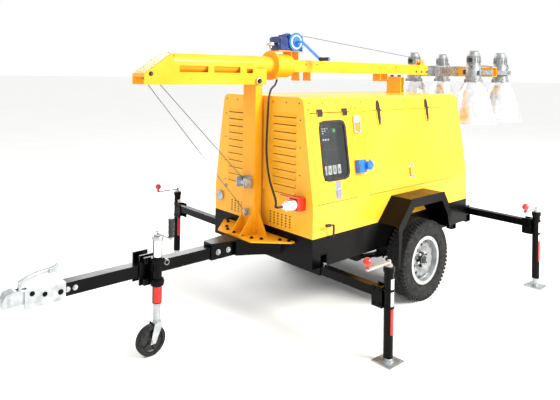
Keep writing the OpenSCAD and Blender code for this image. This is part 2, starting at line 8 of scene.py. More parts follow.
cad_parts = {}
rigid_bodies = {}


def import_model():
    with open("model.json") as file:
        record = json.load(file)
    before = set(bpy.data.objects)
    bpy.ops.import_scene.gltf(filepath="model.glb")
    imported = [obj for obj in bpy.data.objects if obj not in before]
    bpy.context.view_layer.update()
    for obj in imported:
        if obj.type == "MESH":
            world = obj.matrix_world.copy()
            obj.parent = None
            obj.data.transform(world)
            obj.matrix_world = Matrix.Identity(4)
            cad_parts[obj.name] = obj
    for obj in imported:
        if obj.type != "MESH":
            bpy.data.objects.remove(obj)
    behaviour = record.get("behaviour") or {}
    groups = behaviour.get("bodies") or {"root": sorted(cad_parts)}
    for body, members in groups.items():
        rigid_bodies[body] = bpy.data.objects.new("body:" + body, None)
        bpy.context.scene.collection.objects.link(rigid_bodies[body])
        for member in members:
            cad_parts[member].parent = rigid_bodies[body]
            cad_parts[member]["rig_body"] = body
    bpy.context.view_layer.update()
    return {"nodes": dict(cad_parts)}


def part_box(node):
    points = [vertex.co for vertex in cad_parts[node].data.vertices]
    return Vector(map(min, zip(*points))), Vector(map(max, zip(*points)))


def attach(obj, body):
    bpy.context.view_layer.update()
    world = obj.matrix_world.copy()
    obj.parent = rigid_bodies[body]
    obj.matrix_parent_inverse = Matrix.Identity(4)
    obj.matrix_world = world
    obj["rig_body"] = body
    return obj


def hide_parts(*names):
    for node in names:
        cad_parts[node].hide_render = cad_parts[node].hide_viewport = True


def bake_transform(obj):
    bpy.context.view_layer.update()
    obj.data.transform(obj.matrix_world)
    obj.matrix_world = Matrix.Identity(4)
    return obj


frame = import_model()

# The near wheel gives the axle's place and the ground's height; every place below is in
# millimetres back from the axle, across from the middle and up from the ground.
near_tyre_low, near_tyre_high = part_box("near_tyre")
AXLE_X = (near_tyre_low.x + near_tyre_high.x) / 2
GROUND = near_tyre_low.z
MM = 0.001


def at(x, y, z):
    return Vector((AXLE_X + x * MM, y * MM, GROUND + z * MM))


# ---------------------------------------------------------------- finishes


def linear(code):
    """An sRGB hex colour such as F4B51F as linear red, green, blue and alpha."""
    channels = [int(code[i:i + 2], 16) / 255 for i in (0, 2, 4)]
    return [c / 12.92 if c <= 0.04045 else ((c + 0.055) / 1.055) ** 2.4 for c in channels] + [1.0]


def add(tree, kind, inputs=(), **settings):
    """Adds a node, sets its properties, and fills or links its input sockets."""
    made = tree.nodes.new(kind)
    for key, value in settings.items():
        setattr(made, key, value)
    for socket, value in dict(inputs).items():
        if isinstance(value, bpy.types.NodeSocket):
            tree.links.new(value, made.inputs[socket])
        else:
            made.inputs[socket].default_value = value
    return made


def ramp(tree, factor, *stops):
    """Colours at places along a factor: each stop is (place, sRGB hex)."""
    made = add(tree, "ShaderNodeValToRGB", {"Fac": factor})
    while len(made.color_ramp.elements) < len(stops):
        made.color_ramp.elements.new(0.5)
    for element, (place, code) in zip(made.color_ramp.elements, stops):
        element.position = place
        element.color = linear(code)
    return made.outputs["Color"]


def surface(name, dark, light, patch, grain, relief, rough, metal=0.0, stretch=(1, 1, 1), **sockets):
    """A finish whose colour drifts from dark to light over patches, with a fine relief.

    patch and grain are in millimetres, relief is the grain's height in millimetres, and
    rough is the lowest and the highest roughness. Returns the material, its tree and its shader.
    """
    made = bpy.data.materials.new(name)
    made.use_nodes = True
    tree = made.node_tree
    shader = tree.nodes["Principled BSDF"]
    place = add(tree, "ShaderNodeTexCoord").outputs["Object"]
    stretched = add(tree, "ShaderNodeMapping", {"Vector": place, "Scale": stretch}).outputs["Vector"]
    drift = add(tree, "ShaderNodeTexNoise", {"Vector": stretched, "Scale": 1000 / patch, "Detail": 5.0})
    fine = add(tree, "ShaderNodeTexNoise", {"Vector": stretched, "Scale": 1000 / grain, "Detail": 3.0})
    tree.links.new(ramp(tree, drift.outputs["Fac"], (0.32, dark), (0.68, light)), shader.inputs["Base Color"])
    wear = add(tree, "ShaderNodeMapRange", {"Value": drift.outputs["Fac"], "From Min": 0.3, "From Max": 0.7,
                                            "To Min": rough[0], "To Max": rough[1]})
    tree.links.new(wear.outputs["Result"], shader.inputs["Roughness"])
    bump = add(tree, "ShaderNodeBump", {"Height": fine.outputs["Fac"], "Distance": relief * MM,
                                        "Strength": 0.6})
    tree.links.new(bump.outputs["Normal"], shader.inputs["Normal"])
    shader.inputs["Metallic"].default_value = metal
    for socket, value in sockets.items():
        shader.inputs[socket.replace("_", " ")].default_value = value
    return made, tree, shader


# Powder-coated sheet steel: an even warm yellow with the soft orange peel of a baked coat
powder_yellow = surface("powder_coated_steel_yellow", "F4B024", "F7BC38", 420, 2.6, 0.05, (0.3, 0.4),
                        Specular_IOR_Level=0.3, Coat_Weight=0.12, Coat_Roughness=0.12)[0]
# The same coat on the mast and its post, made a little deeper and more orange as painted shade
powder_amber_painted_shade = surface("powder_coated_tube_amber_painted_shade", "EFA012", "F3AC20", 260, 2.2, 0.05, (0.28, 0.38),
                       Specular_IOR_Level=0.3, Coat_Weight=0.12, Coat_Roughness=0.1)[0]
# Chassis enamel: deep black, glossy, with a faint dust that lifts the roughness in patches
chassis_black = surface("brushed_on_chassis_enamel", "030304", "08080A", 180, 3.5, 0.06, (0.22, 0.36),
                        Specular_IOR_Level=0.1)[0]
# Zinc-plated steel: cool silver with a faint cloudiness from the plating bath
zinc = surface("zinc_plated_steel", "A2A7AB", "C2C6C9", 45, 1.8, 0.03, (0.32, 0.46), metal=0.75)[0]
# Silver lacquer over stamped steel, on the wheel rims
rim_lacquer = surface("silver_lacquered_steel", "B4B8BB", "CDD0D2", 90, 2.0, 0.04, (0.28, 0.4), metal=0.7,
                      Coat_Weight=0.5, Coat_Roughness=0.15)[0]
# Sand-cast aluminium of the lamp housings: grey, matt and slightly pebbled
cast_grey = surface("sand_cast_aluminium", "7E8285", "9CA0A2", 35, 2.4, 0.25, (0.42, 0.58), metal=0.65)[0]
# Painted cast iron of the engine and alternator, seen only with a door open
engine_grey = surface("painted_cast_iron", "33383B", "4A5053", 70, 4.0, 0.4, (0.45, 0.6))[0]
# Blue enamel on the mast winch, darkened to nearly navy by painted shade
winch_navy_painted_shade = surface("winch_enamel_navy_painted_shade", "14295E", "1D3878", 60, 2.5, 0.05, (0.22, 0.34), Coat_Weight=0.5)[0]
# Brighter blue enamel on the winch's crank arm and the blue outlet
crank_blue = surface("enamel_bright_blue", "1E62C4", "2B74D8", 60, 2.0, 0.05, (0.22, 0.32),
                     Coat_Weight=0.4)[0]
# Moulded polyamide: black, fine-textured, half matt
moulded_black = surface("moulded_black_polyamide", "111213", "1D1E20", 30, 1.4, 0.08, (0.38, 0.52))[0]
# Moulded red plastic of the power outlet's cap, with a soft gloss
outlet_red = surface("moulded_red_abs", "C3200F", "D42C18", 25, 2.0, 0.04, (0.25, 0.35), Coat_Weight=0.3)[0]
# Moulded white plastic of the power plug
plug_white = surface("moulded_white_polyamide", "DCDCD6", "EDEDE8", 25, 2.0, 0.04, (0.32, 0.42))[0]
# Rubber cable sheath: dark, matt, faintly dusty
cable_rubber = surface("extruded_rubber_sheath", "121213", "212224", 40, 1.2, 0.06, (0.5, 0.68))[0]
# Glass over a dark meter or display
meter_glass = surface("smoked_meter_glass", "07090B", "10151A", 40, 8.0, 0.01, (0.06, 0.1),
                      Coat_Weight=1.0)[0]
# White glass-bead tape: it shines softly back at the light
tape_white = surface("glass_bead_tape_white", "E6E8E8", "F6F7F7", 12, 1.6, 0.08, (0.3, 0.42))[0]
# Red glass-bead tape under the white
tape_red = surface("glass_bead_tape_red", "C4140C", "D8231A", 12, 1.6, 0.08, (0.3, 0.42))[0]
# Red lacquer on the crank knobs
knob_red = surface("dipped_red_lacquer", "C01410", "D4221C", 20, 2.0, 0.05, (0.15, 0.25), Coat_Weight=0.8)[0]
# Amber polycarbonate of the marker lamp
lens_amber = surface("amber_polycarbonate_lens", "F07A10", "FB8E1E", 12, 3.0, 0.15, (0.08, 0.14),
                     Coat_Weight=1.0)[0]
# Chrome on the marker lamp's frame and the door latches: bright, with faint polishing marks
chrome = surface("chrome_plated_zinc", "D4D7DA", "E6E8EA", 30, 1.2, 0.01, (0.06, 0.14), metal=1.0)[0]
# Stencilled pale ink on the meters
ink_pale = surface("screen_printed_ink", "C9D2D0", "E2E8E6", 10, 2.0, 0.02, (0.4, 0.5))[0]
# A green switch and a yellow-green lit key
switch_green = surface("moulded_green_abs", "3FAE3A", "66C84A", 10, 2.0, 0.03, (0.3, 0.4))[0]


def galvanised_steel():
    """Hot-dip galvanised steel: pale grey with crystal spangles 12 mm across."""
    made, tree, shader = surface("hot_dip_galvanised_steel", "9EA3A6", "B9BDBF", 30, 2.0, 0.03, (0.3, 0.45),
                                 metal=0.9)
    place = add(tree, "ShaderNodeTexCoord").outputs["Object"]
    spangle = add(tree, "ShaderNodeTexVoronoi", {"Vector": place, "Scale": 1000 / 12})
    tone = ramp(tree, spangle.outputs["Color"], (0.2, "8F9497"), (0.8, "C4C8CA"))
    tree.links.new(tone, shader.inputs["Base Color"])
    return made


def spun_aluminium():
    """Spun reflector aluminium: near-mirror, with fine lathe rings that run round the bell."""
    made, tree, shader = surface("spun_polished_aluminium", "D6D8DA", "EEF0F1", 60, 1.5, 0.0, (0.24, 0.34),
                                 metal=0.85)
    place = add(tree, "ShaderNodeTexCoord").outputs["Object"]
    flat = add(tree, "ShaderNodeMapping", {"Vector": place, "Scale": (0.02, 0.02, 1)}).outputs["Vector"]
    rings = add(tree, "ShaderNodeTexNoise", {"Vector": flat, "Scale": 1000 / 4, "Detail": 2.0})
    bump = add(tree, "ShaderNodeBump", {"Height": rings.outputs["Fac"], "Distance": 0.12 * MM,
                                        "Strength": 0.5})
    tree.links.new(bump.outputs["Normal"], shader.inputs["Normal"])
    return made


def lamp_glass():
    """Toughened float glass: clear, faintly green at the rim, thin enough to see the reflector through."""
    made, _, shader = surface("toughened_float_glass", "EDF4F0", "F8FBFA", 80, 30.0, 0.01, (0.02, 0.04))
    shader.inputs["Transmission Weight"].default_value = 0.9
    shader.inputs["IOR"].default_value = 1.5
    return made


def stranded_rope():
    """Galvanised wire rope: six strands laid round each other, a turn every 30 mm."""
    made, tree, shader = surface("laid_galvanised_wire_rope", "3A3D3F", "6A6E70", 20, 1.2, 0.05,
                                 (0.45, 0.6), metal=0.4)
    place = add(tree, "ShaderNodeTexCoord").outputs["Object"]
    lay = add(tree, "ShaderNodeTexWave", {"Vector": place, "Scale": 1000 / 30, "Distortion": 0.0},
              wave_type="BANDS", bands_direction="DIAGONAL")
    bump = add(tree, "ShaderNodeBump", {"Height": lay.outputs["Fac"], "Distance": 0.8 * MM, "Strength": 0.8})
    tree.links.new(bump.outputs["Normal"], shader.inputs["Normal"])
    return made


def tyre_rubber():
    """Vulcanised tyre rubber: charcoal, matt, with dusty patches at random."""
    made, tree, shader = surface("vulcanised_tyre_rubber", "141516", "262728", 60, 2.2, 0.3, (0.62, 0.82),
                                 Specular_IOR_Level=0.2)
    place = add(tree, "ShaderNodeTexCoord").outputs["Object"]
    dust = add(tree, "ShaderNodeTexNoise", {"Vector": place, "Scale": 1000 / 25, "Detail": 8.0})
    tree.links.new(ramp(tree, dust.outputs["Fac"], (0.35, "151617"), (0.7, "2E2E2E")),
                   shader.inputs["Base Color"])
    return made


galvanised = galvanised_steel()
spun = spun_aluminium()
glass = lamp_glass()
wire_rope = stranded_rope()
rubber = tyre_rubber()

JACKS = ("near_front", "near_rear", "far_front", "far_rear")
LAMPS = ("near_front", "near_rear", "far_front", "far_rear")
NODE_FINISHES = {
    powder_yellow: ["canopy_front", "canopy_rear", "canopy_sides", "roof_panel", "control_door",
                    "main_door_near", "main_door_far"],
    powder_amber_painted_shade: ["mast_post", "mast_cradle", "mast_outer", "crossarm"],
    chassis_black: ["side_rails", "base_frame", "outrigger_sleeves", "a_frame", "drawbar", "axle_springs",
                    "mudguards", "jockey_tube"] + ["beam_" + name for name in JACKS],
    zinc: ["coupler_body", "coupler_handle", "post_winch", "post_winch_crank", "jockey_leg", "jockey_fork",
           "jockey_crank", "lock_knob"] + ["leg_" + name for name in JACKS]
    + ["crank_" + name for name in JACKS],
    galvanised: ["mast_mid", "mast_inner"],
    winch_navy_painted_shade: ["mast_winch"],
    crank_blue: ["mast_winch_crank"],
    engine_grey: ["genset"],
    moulded_black: ["control_panel"],
    outlet_red: ["sockets"],
    plug_white: ["power_plug"],
    cable_rubber: ["mast_cable"],
    wire_rope: ["lift_ropes", "hoist_rope"],
    rubber: ["near_tyre", "far_tyre", "jockey_wheel"],
    rim_lacquer: ["near_rim", "far_rim"],
    spun: ["lamp_" + name for name in LAMPS],
}


def dress_nodes():
    for finish, names in NODE_FINISHES.items():
        for name in names:
            mesh = frame["nodes"][name].data
            mesh.materials.clear()
            mesh.materials.append(finish)
            mesh.polygons.foreach_set("material_index", [0] * len(mesh.polygons))


def dress_part(node, finish, belongs):
    """Gives the faces of a CAD node that belongs() picks, by their middle in millimetres, a second finish."""
    mesh = frame["nodes"][node].data
    mesh.materials.append(finish)
    last = len(mesh.materials) - 1
    zero = at(0, 0, 0)
    for face in mesh.polygons:
        if belongs((face.center - zero) / MM):
            face.material_index = last


dress_nodes()
# The outlet on the near side is blue; the one on the front is red
dress_part("sockets", crank_blue, lambda p: p.x > -700)
# The lamp brackets that are bolted to the crossarm are cast and left grey
dress_part("crossarm", cast_grey, lambda p: abs(p.x - 1781) > 52)
# The two round caps low on the canopy's front are bright metal
dress_part("canopy_front", zinc, lambda p: p.x < -1137.5 and p.y > 425)

# ---------------------------------------------------------------- camera, floor and light


def place_camera():
    """Stands at the drawbar's near side, 1.8 m up, level, and looks back along the trailer."""
    eye = bpy.data.cameras.new("eye")
    eye.sensor_width = 36
    eye.lens = 34.75
    eye.shift_y = -0.2216
    holder = bpy.data.objects.new("eye", eye)
    holder.location = at(-3863, -3274, 1820)
    holder.rotation_euler = (math.radians(90), math.radians(-0.8), math.radians(-41.8))
    bpy.context.scene.collection.objects.link(holder)
    bpy.context.scene.camera = holder


def area_light(name, place, target, size, power, colour="FFFFFF"):
    light = bpy.data.lights.new(name, "AREA")
    light.shape = "DISK"
    light.size = size
    light.energy = power
    light.color = linear(colour)[:3]
    holder = bpy.data.objects.new(name, light)
    holder.location = place
    holder.rotation_euler = (target - place).to_track_quat("-Z", "Y").to_euler()
    bpy.context.scene.collection.objects.link(holder)


def light_studio():
    middle = at(-300, 0, 900)
    area_light("key", at(1500, -6500, 5200), middle, 3.5, 1000, "FFFCF4")
    area_light("fill", at(-7000, -2500, 3500), middle, 5.0, 30, "F4F8FF")
    area_light("rim", at(1500, 6500, 4500), middle, 4.0, 380)
    world = bpy.data.worlds.new("studio")
    world.use_nodes = True
    background = world.node_tree.nodes["Background"]
    background.inputs["Color"].default_value = linear("FFFFFF")
    background.inputs["Strength"].default_value = 1.0
    bpy.context.scene.world = world
    bpy.context.scene.view_settings.view_transform = "Standard"


def lay_floor():
    """A pale concrete-smooth floor that the jacks and wheels stand on."""
    bm = bmesh.new()
    reach = 300
    corners = [bm.verts.new((x, y, GROUND)) for x, y in ((-reach, -reach), (reach, -reach), (reach, reach),
                                                         (-reach, reach))]
    bm.faces.new(corners)
    mesh = bpy.data.meshes.new("floor")
    bm.to_mesh(mesh)
    floor = bpy.data.objects.new("floor", mesh)
    bpy.context.scene.collection.objects.link(floor)
    mesh.materials.append(surface("pale_floor", "F4F4F3", "F7F7F6", 900, 60, 0.01, (0.7, 0.75))[0])


place_camera()
light_studio()
lay_floor()

# ---------------------------------------------------------------- shaping


def basis(origin, right, up):
    """A drawing plane in the row frame: u runs right, v runs up and w stands out of it, all in millimetres."""
    right = Vector(right).normalized()
    up = Vector(up).normalized()
    out = right.cross(up)
    columns = Matrix((right * MM, up * MM, out * MM)).transposed().to_4x4()
    return Matrix.Translation(origin) @ columns


def prism(bm, plane, outline, low, high):
    """A flat plate with that outline, from height low to high out of the plane."""
    rings = [[bm.verts.new(plane @ Vector((u, v, w))) for u, v in outline] for w in (low, high)]
    count = len(outline)
    bm.faces.new(rings[0][::-1])
    bm.faces.new(rings[1])
    for i in range(count):
        bm.faces.new((rings[0][i], rings[0][(i + 1) % count], rings[1][(i + 1) % count], rings[1][i]))


def slab(bm, plane, low, high):
    outline = [(low[0], low[1]), (high[0], low[1]), (high[0], high[1]), (low[0], high[1])]
    prism(bm, plane, outline, low[2], high[2])


def frame_plate(bm, plane, outer, inner, low, high):
    """A plate with a window: outer and inner outlines have the same number of points."""
    rings = [[bm.verts.new(plane @ Vector((u, v, w))) for u, v in outline]
             for outline, w in ((outer, low), (outer, high), (inner, high), (inner, low))]
    count = len(outer)
    for k in range(4):
        first, second = rings[k], rings[(k + 1) % 4]
        for i in range(count):
            bm.faces.new((first[i], first[(i + 1) % count], second[(i + 1) % count], second[i]))


def rounded(u0, v0, u1, v1, radius, steps=6):
    """A rectangle's outline with round corners."""
    points = []
    for cu, cv, start in ((u1 - radius, v0 + radius, -90), (u1 - radius, v1 - radius, 0),
                          (u0 + radius, v1 - radius, 90), (u0 + radius, v0 + radius, 180)):
        for i in range(steps + 1):
            turn = math.radians(start + 90 * i / steps)
            points.append((cu + radius * math.cos(turn), cv + radius * math.sin(turn)))
    return points


def turned(bm, plane, centre, profile, sides=32):
    """A lathe-turned form on the plane's w axis: profile is a list of (radius, height).

    A radius of zero closes the form; a profile whose ends meet is left as a ring.
    """
    rings = []
    for radius, height in profile:
        if radius == 0:
            rings.append([bm.verts.new(plane @ Vector((centre[0], centre[1], height)))])
            continue
        turns = [2 * math.pi * i / sides for i in range(sides)]
        rings.append([bm.verts.new(plane @ Vector((centre[0] + radius * math.cos(t),
                                                   centre[1] + radius * math.sin(t),
                                                   height))) for t in turns])
    for first, second in zip(rings, rings[1:]):
        for i in range(sides):
            j = (i + 1) % sides
            corners = [first[i % len(first)], first[j % len(first)], second[j % len(second)],
                       second[i % len(second)]]
            kept = [c for k, c in enumerate(corners) if c is not corners[k - 1]]
            if len(kept) > 2:
                bm.faces.new(kept)


def dome(bm, plane, centre, radius, height, base=0.0, sides=16):
    """A round-headed screw or rivet."""
    turned(bm, plane, centre, [(0, base), (radius, base), (radius, base + height * 0.35),
                               (radius * 0.8, base + height * 0.8), (radius * 0.4, base + height),
                               (0, base + height)],
           sides)


def hex_bolt(bm, plane, centre, across, base=0.0, turn=0.0):
    """A washer, a hexagon head and the chamfer on it."""
    half = across / 2 / math.cos(math.radians(30))
    turned(bm, plane, centre, [(0, base), (across * 0.85, base), (across * 0.85, base + 2), (0, base + 2)],
           20)
    corners = [(centre[0] + half * math.cos(turn + k * math.pi / 3),
                centre[1] + half * math.sin(turn + k * math.pi / 3))
               for k in range(6)]
    prism(bm, plane, corners, base + 2, base + across * 0.55)


def pipe(bm, path, radius, sides=12):
    """A round bar or tube along a chain of points in the row frame; radius is in millimetres."""
    path = [Vector(p) for p in path]
    tangents = []
    for i in range(len(path)):
        before = path[max(i - 1, 0)]
        after = path[min(i + 1, len(path) - 1)]
        tangents.append((after - before).normalized())
    side = tangents[0].orthogonal().normalized()
    rings = []
    for point, tangent in zip(path, tangents):
        side = (side - tangent * side.dot(tangent)).normalized()
        other = tangent.cross(side)
        turns = [2 * math.pi * k / sides for k in range(sides)]
        rings.append([bm.verts.new(point + (side * math.cos(t) + other * math.sin(t)) * radius * MM)
                      for t in turns])
    for first, second in zip(rings, rings[1:]):
        for k in range(sides):
            bm.faces.new((first[k], first[(k + 1) % sides], second[(k + 1) % sides], second[k]))
    bm.faces.new(rings[0][::-1])
    bm.faces.new(rings[-1])


def smooth_path(points, steps=6):
    """A smooth curve through given points."""
    points = [Vector(p) for p in points]
    ends = [points[0] * 2 - points[1]] + points + [points[-1] * 2 - points[-2]]
    curve = []
    for a, b, c, d in zip(ends, ends[1:], ends[2:], ends[3:]):
        for i in range(steps):
            t = i / steps
            curve.append(0.5 * (2 * b + (c - a) * t + (2 * a - 5 * b + 4 * c - d) * t * t
                                + (3 * b - a - 3 * c + d) * t * t * t))
    return curve + [points[-1]]


def make(name, body, finish, draw, edge=0.0, sharp=38):
    """Draws one piece, gives it its finish, and lets it ride on its body."""
    bm = bmesh.new()
    draw(bm)
    bmesh.ops.recalc_face_normals(bm, faces=bm.faces)
    mesh = bpy.data.meshes.new(name)
    bm.to_mesh(mesh)
    bm.free()
    mesh.shade_smooth()
    mesh.set_sharp_from_angle(angle=math.radians(sharp))
    mesh.materials.append(finish)
    made = bpy.data.objects.new(name, mesh)
    bpy.context.scene.collection.objects.link(made)
    if edge:
        rounding = made.modifiers.new("rounded edges", "BEVEL")
        rounding.width = edge * MM
        rounding.segments = 2
        rounding.limit_method = "ANGLE"
    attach(made, body)
    return made


# ---------------------------------------------------------------- planes to draw on

# The canopy's sides lean in by 109 mm over 708 mm of height
LEAN = math.atan2(109, 708)
FOOT_HALF = 594
FRONT_X = -1137
MAST_Z = 1903
SIDE_UP = (0, math.sin(LEAN), math.cos(LEAN))
near_side = basis(at(0, -FOOT_HALF, 900), (1, 0, 0), SIDE_UP)
far_side = basis(at(0, FOOT_HALF, 900), (-1, 0, 0), (0, -SIDE_UP[1], SIDE_UP[2]))
front_face = basis(at(FRONT_X, 0, 0), (0, -1, 0), (0, 0, 1))


def ground_plane(x, y, z=0):
    return basis(at(x, y, z), (1, 0, 0), (0, 1, 0))


def side_facing(x, y, z, side):
    """A plane that faces the near side (side -1) or the far side (side 1)."""
    return basis(at(x, y, z), (-side, 0, 0), (0, 0, 1))


# ---------------------------------------------------------------- canopy


def canopy_screws(bm):
    for side in (-1, 1):
        edge = basis(at(0, side * 482, 1621), (-side, 0, 0), (0, side * -0.23, 0.97))
        for k in range(15):
            dome(bm, edge, (side * (1080 - 145 * k), 0), 5.5, 3.5)
    for plane in (near_side, far_side):
        flip = 1 if plane is near_side else -1
        for u in (-1098, -630, -575, 820):
            dome(bm, plane, (flip * u, 684), 6, 3.5)
    for y in (-440, -300, -150, 0, 150, 300, 440):
        dome(bm, front_face, (y, 1622), 5.5, 3.5)
    for y in (-455, 455):
        for z in (1500, 1300, 1100, 940):
            dome(bm, front_face, (y, z), 5.5, 3.5)


make("canopy_screws", "trailer", moulded_black, canopy_screws)


def centre_strip(bm):
    """The two flanges of the narrow recessed channel between the louvre columns."""
    slab(bm, front_face, (-60, 940, 0), (-52, 1640, 9))
    slab(bm, front_face, (52, 940, 0), (60, 1640, 9))


make("front_channel_flanges", "trailer", powder_yellow, centre_strip, edge=1.5)


def louvre_shadows(bm):
    """Dark slabs just behind the sheet, seen through the louvres: black foam, and painted shade for the unlit
    inside of the canopy.
    """
    for u in (-410, 160):
        slab(bm, front_face, (u, 940, -12), (u + 250, 1560, -8))
    for u in (-370, 122):
        slab(bm, front_face, (u, 690, -12), (u + 248, 792, -8))


make("foam_and_painted_shade_behind_louvres", "trailer", moulded_black, louvre_shadows)


def door_seals(bm):
    """Black rubber edging round the door openings, showing in the gaps."""
    for plane, flip in ((near_side, 1), (far_side, -1)):
        spans = [(-498, 702)] + ([(-1080, -648)] if flip == 1 else [])
        for u0, u1 in spans:
            u0, u1 = sorted((flip * u0, flip * u1))
            frame_plate(bm, plane, rounded(u0 - 4, -3, u1 + 4, 658, 2, 1), rounded(u0 + 6, 8, u1 - 6, 646,
                                                                                   2, 1),
                        -34, -25)


make("door_seals", "trailer", cable_rubber, door_seals)


def strap_hinges(flip):
    """Cast butterfly hinges: a long pointed strap over the door's top edge, with its knuckle and screws."""
    def draw(bm):
        plane = near_side if flip == 1 else far_side
        for u in (-292, 408):
            u *= flip
            strap = [(u + half, v) for half, v in ((5, 536), (15, 552), (21, 590), (22, 640), (24, 652))]
            strap += [(u - half, v) for half, v in ((24, 652), (22, 640), (21, 590), (15, 552), (5, 536))]
            prism(bm, plane, strap, 0.5, 8)
            leaf = [(u + half, v) for half, v in ((24, 660), (22, 672), (20, 705), (13, 728), (5, 738))]
            leaf += [(u - half, v) for half, v in ((5, 738), (13, 728), (20, 705), (22, 672), (24, 660))]
            prism(bm, plane, leaf, 0.5, 8)
            for v in (560, 590, 620, 690, 718):
                dome(bm, plane, (u, v), 5, 4, 8)
            axis = basis(plane @ Vector((u - 26, 656, 8)), plane.col[1].xyz, plane.col[2].xyz)
            turned(bm, axis, (0, 0), [(0, 0), (8, 0), (8, 52), (0, 52)], 20)
    return draw


make("main_door_near_hinges", "trailer", moulded_black, strap_hinges(1), edge=1.0)
make("main_door_far_hinges", "trailer", moulded_black, strap_hinges(-1), edge=1.0)


def control_hinges(bm):
    for u in (-1012, -738):
        slab(bm, near_side, (u, 628, 1), (u + 56, 652, 8))
        slab(bm, near_side, (u, 660, 1), (u + 56, 684, 8))
        axis = basis(near_side @ Vector((u, 656, 7)), near_side.col[1].xyz, near_side.col[2].xyz)
        turned(bm, axis, (0, 0), [(0, 0), (7, 0), (7, 56), (0, 56)], 16)
        for du in (12, 44):
            for v in (640, 672):
                dome(bm, near_side, (u + du, v), 4, 3, 8)


make("control_door_hinges", "trailer", moulded_black, control_hinges, edge=0.8)


def window_frame(bm):
    """Rubber-lipped bezel round the door's window."""
    outer = rounded(-1004, 151, -712, 599, 62)
    inner = rounded(-984, 171, -732, 579, 46)
    frame_plate(bm, near_side, outer, inner, -6, 7)


make("control_window_bezel", "control_door", moulded_black, window_frame, edge=2.0)


def window_pane(bm):
    prism(bm, near_side, rounded(-990, 165, -726, 585, 50), -2, 1)


def clear_pane():
    """Clear acrylic in the control door: nearly invisible, it only catches the light."""
    made, _, shader = surface("cast_clear_acrylic", "E8EEF0", "F2F6F8", 90, 40.0, 0.01, (0.02, 0.05))
    shader.inputs["Transmission Weight"].default_value = 1.0
    shader.inputs["IOR"].default_value = 1.49
    return made


acrylic = clear_pane()
make("control_window_pane", "control_door", acrylic, window_pane)

PANEL_FACE = -60


def panel_box(bm):
    """The control fascia: upper meter field, a dividing bar and the breaker field below."""
    slab(bm, near_side, (-1066, 24, PANEL_FACE - 4), (-664, 636, PANEL_FACE + 4))
    slab(bm, near_side, (-1040, 372, PANEL_FACE + 4), (-690, 380, PANEL_FACE + 14))
    slab(bm, near_side, (-980, 430, PANEL_FACE + 4), (-860, 560, PANEL_FACE + 20))


make("control_fascia", "trailer", moulded_black, panel_box, edge=1.5)


def meter_screen(bm):
    prism(bm, near_side, rounded(-972, 484, -868, 552, 5), PANEL_FACE + 20, PANEL_FACE + 23)


make("controller_display", "trailer", meter_glass, meter_screen, edge=0.6)


def meter_marks(bm):
    """Rows of meter digits as plain bars, and the row of keys under the display."""
    for row in range(3):
        for k in range(4 - row):
            slab(bm, near_side, (-964 + 24 * k, 536 - 18 * row, PANEL_FACE + 23), (-948 + 24 * k,
                                                                                   544 - 18 * row,
                                                                                PANEL_FACE + 24))
    for k in range(4):
        turned(bm, near_side, (-960 + 27 * k, 456), [(0, PANEL_FACE + 20), (8, PANEL_FACE + 20),
                                                     (8, PANEL_FACE + 25),
                                                     (6, PANEL_FACE + 26), (0, PANEL_FACE + 26)], 16)


make("controller_marks_and_keys", "trailer", ink_pale, meter_marks)


def start_key(bm):
    turned(bm, near_side, (-800, 520), [(0, PANEL_FACE + 4), (17, PANEL_FACE + 4), (17, PANEL_FACE + 14),
                                        (12, PANEL_FACE + 20), (0, PANEL_FACE + 20)], 24)


make("start_button", "trailer", switch_green, start_key)


def breakers(bm):
    for k in range(4):
        u = -960 + 52 * k
        slab(bm, near_side, (u, 196, PANEL_FACE + 4), (u + 34, 262, PANEL_FACE + 26))
        slab(bm, near_side, (u + 11, 214, PANEL_FACE + 26), (u + 23, 240, PANEL_FACE + 36))


make("circuit_breakers", "trailer", plug_white, breakers, edge=1.2)


def paddle_latch(u, v, width, height, pointed, flip=1):
    """A recessed paddle latch: outer plate, lifted paddle, lock barrel and rivets."""
    def draw(bm):
        plane = near_side if flip == 1 else far_side
        c = u * flip
        if pointed:
            outline = [(c - width / 2, v), (c + width / 2, v), (c + width / 2, v + height * 0.68),
                       (c + width * 0.2, v + height * 0.95), (c, v + height), (c - width * 0.2,
                                                                               v + height * 0.95),
                       (c - width / 2, v + height * 0.68)]
        else:
            outline = rounded(c - width / 2, v, c + width / 2, v + height, 14)
        prism(bm, plane, outline, 0.5, 4)
        prism(bm, plane, rounded(c - width * 0.34, v + 10, c + width * 0.34, v + height * 0.46, 6), 4, 11)
        turned(bm, plane, (c, v + height * 0.62), [(0, 4), (11, 4), (11, 10), (8, 12), (8, 9), (0, 9)], 24)
        slab(bm, plane, (c - 1.5, v + height * 0.62 - 6, 8), (c + 1.5, v + height * 0.62 + 6, 9.5))
        for du, dv in ((-0.36, 0.06), (0.36, 0.06), (-0.36, 0.62), (0.36, 0.62)):
            dome(bm, plane, (c + du * width, v + dv * height), 3.2, 2.5, 4)
    return draw


make("control_door_latch", "control_door", chrome, paddle_latch(-858, 14, 68, 132, False), edge=1.2)
make("main_door_near_latch", "main_door_near", chrome, paddle_latch(84, 72, 84, 118, True), edge=1.2)
make("main_door_far_latch", "main_door_far", chrome, paddle_latch(84, 72, 84, 118, True, -1),
     edge=1.2)


def marker_frame(bm):
    outer = rounded(-620, 484, -540, 630, 26)
    inner = rounded(-608, 496, -552, 618, 18)
    frame_plate(bm, near_side, outer, inner, 0.5, 16)


def marker_lens(bm):
    prism(bm, near_side, rounded(-608, 496, -552, 562, 18), 1, 11)


def marker_reflector(bm):
    prism(bm, near_side, rounded(-608, 564, -552, 618, 18), 1, 9)


make("marker_lamp_bezel", "trailer", chrome, marker_frame, edge=4.0)
make("marker_lamp_lens", "trailer", lens_amber, marker_lens, edge=3.0)
make("marker_lamp_reflector", "trailer", tape_white, marker_reflector, edge=3.0)

# ---------------------------------------------------------------- cords

